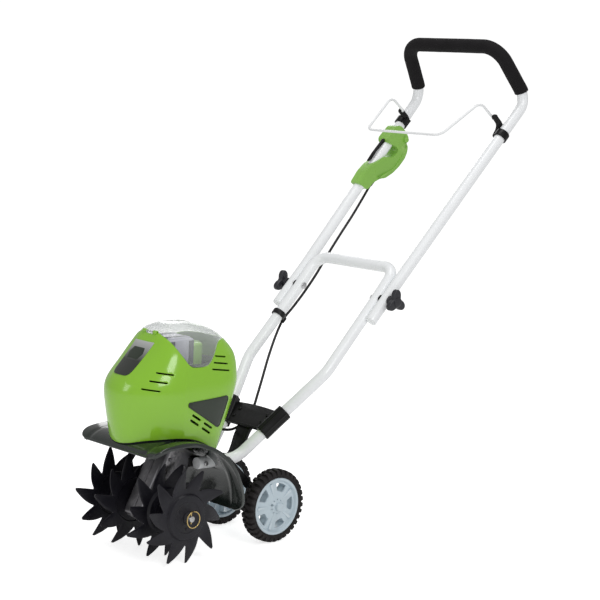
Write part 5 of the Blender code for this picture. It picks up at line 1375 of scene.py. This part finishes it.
def make_switch_box():
    outline = fillet(BOX_OUTLINE, 0.0060, 4)
    width = 0.0178
    for name, sign in (("switch_box_inner", 1.0), ("switch_box_outer", -1.0)):
        middle = sign * (width / 2 + 0.0001)
        shell = slab(name, outline, width - 0.0002, Matrix.Translation(ACROSS_X * middle) @ BOX_FRAME,
                     0.0)
        bake_in(shell)
        face = box_point(0, 0).x + sign * (width - 0.0006)
        work = bmesh.new()
        work.from_mesh(shell.data)
        bevel_sharp(work, 0.0062, 6, 35.0,
                    lambda edge: all((vert.co.x - face) * sign > 0 for vert in edge.verts))
        bevel_sharp(work, 0.0004, 1, 60.0)
        work.to_mesh(shell.data)
        work.free()
        inverse, centre_x = BOX_FRAME.inverted(), box_point(0, 0).x
        for vert in shell.data.vertices:
            up = (inverse @ vert.co).y
            share = (1 - 0.20 * soft_step(-up, 0.020, 0.060)
                     - 0.14 * soft_step(up, 0.050, 0.080))
            lean = box_point(0, up).x
            vert.co.x = lean + (vert.co.x - centre_x - (lean - centre_x)) * share
        carve(shell, [sweep("tube_room", [box_point(0, -0.14), box_point(0, 0.14)], 0.0130, 56)])
        rib = fillet([(0.0245, -0.0420), (0.0290, -0.0360), (0.0470, 0.0020), (0.0500, 0.0300),
                      (0.0480, 0.0560), (0.0445, 0.0560), (0.0460, 0.0300), (0.0430, 0.0050),
                      (0.0270, -0.0300)], 0.004, 4)
        ridge = slab("ridge", rib, 0.0036, Matrix.Translation(
            ACROSS_X * (sign * (width + 0.0002))) @ BOX_FRAME, 0.0012)
        screws = []
        for back, up in ((0.0410, 0.0780), (0.0240, -0.0400)):
            screws.append(turned("pit", [(0.0018, 0.0), (0.0040, 0.0), (0.0040, 0.0014),
                                         (0.0026, 0.0014), (0.0018, 0.0006)], 0.0004,
                                 facing(box_point(back, up, sign * (width - 0.0006)), sign), 24,
                                 True))
        piece = merged(name + "_finished", shell, ridge, *screws)
        dress(piece, SWITCH_GREEN, name, sharp=34.0)
    rings = [(0.0, 0.0), (0.0040, 0.0)]
    for k in range(6):
        base = 0.0035 + 0.0062 * k
        grow = 0.0042 + 0.00028 * k
        rings += [(grow, base - 0.0012), (grow, base + 0.0020), (grow - 0.0007, base + 0.0026),
                  (grow - 0.0007, base + 0.0042)]
    rings += [(0.0060, 0.0420), (0.0, 0.0420)]
    relief = lathe("strain_relief_finished", rings,
                   along(box_point(0.0285, -0.0640), box_point(0.0285, -0.0220)), 32)
    dress(relief, BLACK, "strain_relief", sharp=35.0)
    button = turned("button", [(0.0, 0.0080), (0.0050, 0.0077), (0.0070, 0.0060),
                               (0.0070, -0.0080), (0.0, -0.0080)], 0.0012,
                    x_axis_at(box_point(0.0270, 0.0880), box_point(0, 0).x + 0.0130), 48)
    dress(merged("lock_button_finished", button), SWITCH_GREEN, "lock_button")
    lever = fillet([(-0.0200, 0.0440), (-0.0188, 0.0470), (-0.0165, 0.0482), (-0.0142, 0.0470),
                    (-0.0138, 0.0440), (-0.0180, 0.0050), (-0.0175, -0.0230), (-0.0190, -0.0290),
                    (-0.0215, -0.0290), (-0.0225, -0.0050)], 0.0012, 3)
    dress(merged("lever_finished", slab("lever", lever, 0.0086, BOX_FRAME, 0.0009)), BLACK,
          "switch_lever")


# ---------------------------------------------------------------- cable, clip, bracket and arm
CABLE_ROUTE = (
    (-0.1555, 0.7480, 0.7190), (-0.1480, 0.7100, 0.6810), (-0.1420, 0.6650, 0.6360),
    (-0.1360, 0.6200, 0.5890), (-0.1300, 0.5820, 0.5480), (-0.1260, 0.5420, 0.5080),
    (-0.1245, 0.5080, 0.4760), (-0.1245, 0.4761, 0.4462), (-0.1120, 0.4440, 0.4140),
    (-0.0840, 0.3980, 0.3720), (-0.0540, 0.3540, 0.3300), (-0.0310, 0.3200, 0.2980),
    (-0.0275, 0.3085, 0.2760), (-0.0265, 0.2960, 0.2570), (-0.0265, 0.2740, 0.2400),
    (-0.0250, 0.2420, 0.2310), (-0.0180, 0.2000, 0.2390), (-0.0100, 0.1560, 0.2590),
    (-0.0100, 0.1180, 0.2640),
)


def make_cable():
    """One lead from the switch box to the housing, past the handle's fold, attached to no body."""
    leaving = [box_point(0.0285, up) for up in (-0.0430, -0.0560, -0.0700)]
    lead = sweep("switch_lead", smooth_route([*leaving, *CABLE_ROUTE], 8), CABLE_RADIUS, 20,
                 0.0006)
    dress(lead, SATIN_BLACK, "lower_cable", "upper_cable", sharp=50.0, bends=True)
    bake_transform(lead)
    refined("cable_clip", BLACK, 0.0008, 2, 30.0)


BRACKET_FRAME = frame_of((0.0, 0.2755, 0.2612), ACROSS_X, (0.0, 0.049, 0.036))
SCREW_ACROSS, SCREW_UP = 0.045, 0.0110       # a bracket screw's place in that frame


def make_bracket():
    """A moulded plate between the legs with a ribbed half-round channel on each."""
    bow = [(x, 0.0270 + 0.0052 * (1 - (x / 0.080) ** 2)) for x in
           [0.080 - 0.160 * k / 24 for k in range(25)]]
    outline = fillet(bow + [(-0.0590, -0.0300), (0.0590, -0.0300)], 0.003, 3)
    plate = slab("plate", outline, 0.0060, BRACKET_FRAME, 0.0010)
    edge_rib = slab("rib", fillet(rectangle(-0.0560, -0.0276, 0.0560, -0.0254), 0.0010, 2), 0.0076,
                    BRACKET_FRAME, 0.0005)
    pieces = [plate, edge_rib]
    path = lower_path()
    low, high = Vector((LEG_X, 0.1985, 0.1865)), Vector((0.0735, 0.2720, 0.2590))
    top = Vector((0.1260, 0.3760, 0.3695))
    for _, sign in SIDES:
        flip = Vector((sign, 1.0, 1.0))
        start, end = (high + (low - high) * 0.30) * flip, (high + (top - high) * 0.26) * flip
        near = [p for p in divided(path, 0.004) if p.x * sign > 0 and start.y < p.y < end.y]

        def ribbed(share, angle):
            return 1.0 + 0.085 * max(0.0, math.cos(angle * 9)) ** 2

        pieces.append(sweep("channel", near, 0.0166, 160, 0.0012, bore=SLEEVE_BORE,
                            shape=ribbed))
    holes = []
    away = BRACKET_FRAME.col[2].to_3d()
    for _, sign in SIDES:
        for up in (SCREW_UP, -SCREW_UP):
            spot = BRACKET_FRAME @ Vector((sign * SCREW_ACROSS, up, 0.0))
            holes.append(sweep("hole", [spot - away * 0.02, spot + away * 0.02], 0.0024, 16))
    carve(pieces[0], [merged("holes", *holes)])
    dress(merged("bracket_finished", *pieces), BLACK, "handle_bracket", sharp=32.0)
    for node, sign, up in (("upper_left", 1.0, SCREW_UP), ("lower_left", 1.0, -SCREW_UP),
                           ("upper_right", -1.0, SCREW_UP), ("lower_right", -1.0, -SCREW_UP)):
        head = BRACKET_FRAME @ Vector((sign * SCREW_ACROSS, up, 0.0033))
        screw = turned("screw", [(0.0, 0.0012), (0.0014, 0.0012), (0.0018, 0.0026), (0.0030, 0.0025),
                                 (0.0042, 0.0012), (0.0042, 0.0), (0.0020, 0.0), (0.0020, -0.0100),
                                 (0.0, -0.0100)], 0.0004, along(head, head + away), 24, rounds=2)
        dress(merged(f"screw_{node}_finished", screw), BLACK, "bracket_screw_" + node)

    band = curve_2d([(0.2700, 0.2470), (0.2580, 0.2380), (0.2470, 0.2190), (0.2390, 0.1960),
                     (0.2290, 0.1800), (0.2050, 0.1740), (0.1640, 0.1850)], 8)
    sheet = prism("band", offset_outline(band, 0.0026) + offset_outline(band, -0.0026)[::-1],
                  0.0200, 0.0006)
    ribs = [slab("rib", offset_outline(band, 0.0050) + offset_outline(band, -0.0026)[::-1], 0.0026,
                 Matrix.Translation((x, 0, 0)) @ SIDE_VIEW, 0.0006)
            for x in (-0.0186, -0.0062, 0.0062, 0.0186)]
    eye = turned("eye", rectangle(0.0036, -0.0200, 0.0080, 0.0200), 0.0010, x_axis_at(YOKE_PIVOT),
                 40, True)
    arm = merged("arm", sheet, *ribs, eye)
    dress(merged("arm_finished", arm), BLACK, "support_arm", sharp=32.0)
    for title, place, reach in (("leg_bolt", LEG_BOLT, 0.0590), ("yoke_bolt", YOKE_PIVOT, 0.0640)):
        outline = [(0.0, reach + 0.0030), (0.0050, reach + 0.0026), (0.0055, reach),
                   (0.0030, reach), (0.0030, -reach), (0.0055, -reach), (0.0055, -reach - 0.0045),
                   (0.0, -reach - 0.0045)]
        bolt = turned(title, outline, 0.0006, x_axis_at(place), 36, rounds=2)
        dress(merged(title + "_finished", bolt), STEEL, title)


# ---------------------------------------------------------------- wheels and their yoke
WHEEL_AXIS = Vector((0.0, 0.273, 0.0805))
WHEEL_PLACE, LUGS, SPOKES = 0.086, 34, 5     # the place is out from the mid-plane


def capsule(start, end, radius, steps=12):
    run = Vector((end[0] - start[0], end[1] - start[1]))
    angle = math.degrees(math.atan2(run.y, run.x))
    return [*arc(start, radius, angle + 90, angle + 270, steps),
            *arc(end, radius, angle - 90, angle + 90, steps)]


def make_yoke():
    outline = capsule((YOKE_PIVOT.y, YOKE_PIVOT.z), (WHEEL_AXIS.y, WHEEL_AXIS.z), 0.0100)
    inner = capsule((YOKE_PIVOT.y + 0.02, YOKE_PIVOT.z - 0.0186), (WHEEL_AXIS.y - 0.02,
                                                                   WHEEL_AXIS.z + 0.0186), 0.0052)
    pieces = [slab(title, shape, thickness, Matrix.Translation(ACROSS_X * sign * x) @ SIDE_VIEW, edge)
              for _, sign in SIDES
              for title, shape, thickness, x, edge in (("arm", outline, 0.0030, 0.0600, 0.0007),
                                                       ("press", inner, 0.0012, 0.0619, 0.0005))]
    middle = (YOKE_PIVOT + WHEEL_AXIS) / 2
    pieces.append(sweep("brace", [middle - ACROSS_X * 0.061, middle + ACROSS_X * 0.061], 0.0060, 40))
    dress(merged("yoke_finished", *pieces), BLACK, "wheel_yoke")
    end = 0.1060
    axle = [(0.0, end + 0.0040), (0.0050, end + 0.0034), (0.0070, end + 0.0014), (0.0070, end),
            (0.0040, end), (0.0040, -end), (0.0070, -end), (0.0070, -end - 0.0014),
            (0.0050, -end - 0.0034), (0.0, -end - 0.0040)]
    dress(merged("axle_finished", turned("axle", axle, 0.0008, x_axis_at(WHEEL_AXIS), 40, rounds=3)),
          STEEL, "wheel_axle")


def window_outline(inner, outer, spread, corner):
    """A wheel window between two radii, a little wider at the rim."""
    return fillet([*arc((0, 0), inner, -spread, spread, 2),
                   *arc((0, 0), outer, spread + 3, -spread - 3, 6)], corner, 5)


def make_wheel(side, sign):
    place = facing(Vector((sign * WHEEL_PLACE, WHEEL_AXIS.y, WHEEL_AXIS.z)), sign)
    half = 0.0172
    carcass = turned("carcass", [
        (0.0700, half - 0.0010), (0.0745, half - 0.0040), (0.0768, half * 0.45), (0.0772, 0.0),
        (0.0768, -half * 0.45), (0.0745, -half + 0.0040), (0.0700, -half + 0.0010),
        (0.0640, -half + 0.0012), (0.0633, -half + 0.0030), (0.0633, half - 0.0030),
        (0.0640, half - 0.0012)], 0.0016, place, 120, True, 3)
    work = bmesh.new()
    for lug in range(LUGS):
        for row in (1.0, -1.0):
            centre = 2 * math.pi * (lug + (0.0 if row > 0 else 0.5)) / LUGS
            profile = [(0.0010, 0.0765), (0.0010, 0.0803), (0.0060, 0.0804), (0.0118, 0.0796),
                       (0.0152, 0.0772), (0.0172, 0.0722), (0.0168, 0.0690), (0.0140, 0.0700)]
            rings = []
            for at, lift in ((-0.056, -0.0014), (-0.046, 0.0), (0.0, 0.0), (0.046, 0.0),
                             (0.056, -0.0014)):
                ring = []
                for k, (across, radius) in enumerate(profile):
                    outer = 1 <= k <= 5
                    angle = centre + at + row * 0.010 * (across / 0.017)
                    size = radius + (lift if outer else 0.0)
                    ring.append(work.verts.new((*polar(size, angle), row * across)))
                rings.append(ring)
            stitch(work, rings)
            work.faces.new(rings[0])
            work.faces.new(rings[-1])
    lugs = add_mesh("lugs", work)
    lugs.matrix_world = place
    dress(merged(f"tyre_{side}_finished", carcass, lugs), TYRE, "tyre_" + side, sharp=30.0)

    rim = [(0.0632, 0.0148), (0.0632, -0.0148), (0.0600, -0.0155), (0.0575, -0.0140),
           (0.0560, 0.0010), (0.0200, 0.0050), (0.0150, 0.0040), (0.0125, -0.0235),
           (0.0043, -0.0235), (0.0043, 0.0185), (0.0110, 0.0190), (0.0135, 0.0165), (0.0200, 0.0120),
           (0.0540, 0.0085), (0.0572, 0.0150), (0.0600, 0.0158)]
    disc = turned("rim", rim, 0.0016, place, 120, True, 3)
    bake_in(disc)
    opening = window_outline(0.0330, 0.0505, 15, 0.0060)
    turns = [place @ Matrix.Rotation(math.radians(72 * spoke + 90), 4, "Z")
             for spoke in range(SPOKES)]
    tools = [slab("window", opening, 0.06, turn, 0.0) for turn in turns]
    for hole in range(10):
        a = math.radians(36 * hole)
        size = 0.0026 if hole % 5 == 2 else 0.0015
        spot = place @ Matrix.Translation((*polar(0.0155, a), 0.0))
        tools.append(lathe("pin_hole", rectangle(0.0, -0.03, size, 0.03), spot, 16))
    carve(disc, [merged("windows", *tools)])
    ease(disc, 0.0006, 2, 45.0)
    hoops = []
    for turn in turns:
        lining = slab("lining", window_outline(0.0316, 0.0521, 17, 0.0066), 0.0190,
                      turn @ Matrix.Translation((0, 0, -0.0045)), 0.0)
        hoops.append(carve(lining, [slab("room", opening, 0.06, turn, 0.0)]))
    for spoke in range(SPOKES):
        turn = place @ Matrix.Rotation(math.radians(72 * spoke + 126), 4, "Z")
        hoops.append(slab("rib", fillet([(0.0200, -0.0022), (0.0530, -0.0034), (0.0530, 0.0034),
                                         (0.0200, 0.0022)], 0.0010, 3), 0.0030,
                          turn @ Matrix.Translation((0, 0, 0.0104)), 0.0010))
    dress(merged(f"rim_{side}_finished", disc, *hoops), RIM, "rim_" + side, sharp=32.0)
    cap = turned("cap", [(0.0, 0.0268), (0.0070, 0.0262), (0.0092, 0.0245), (0.0098, 0.0188),
                         (0.0086, 0.0188), (0.0082, 0.0240), (0.0, 0.0252)], 0.0008, place, 40)
    dress(merged(f"hub_cap_{side}", cap), RIM, body="wheel_" + side, slot="rim_plastic")


# ---------------------------------------------------------------- build
make_housing()
make_lid()
make_badges()
make_battery()
make_guard()
make_gear_case()
make_motor()
make_shaft()
make_tines()
make_handles()
make_grip()
make_knobs()
make_bail()
make_switch_box()
make_cable()
make_bracket()
make_yoke()
for wheel_side, wheel_sign in SIDES:
    make_wheel(wheel_side, wheel_sign)
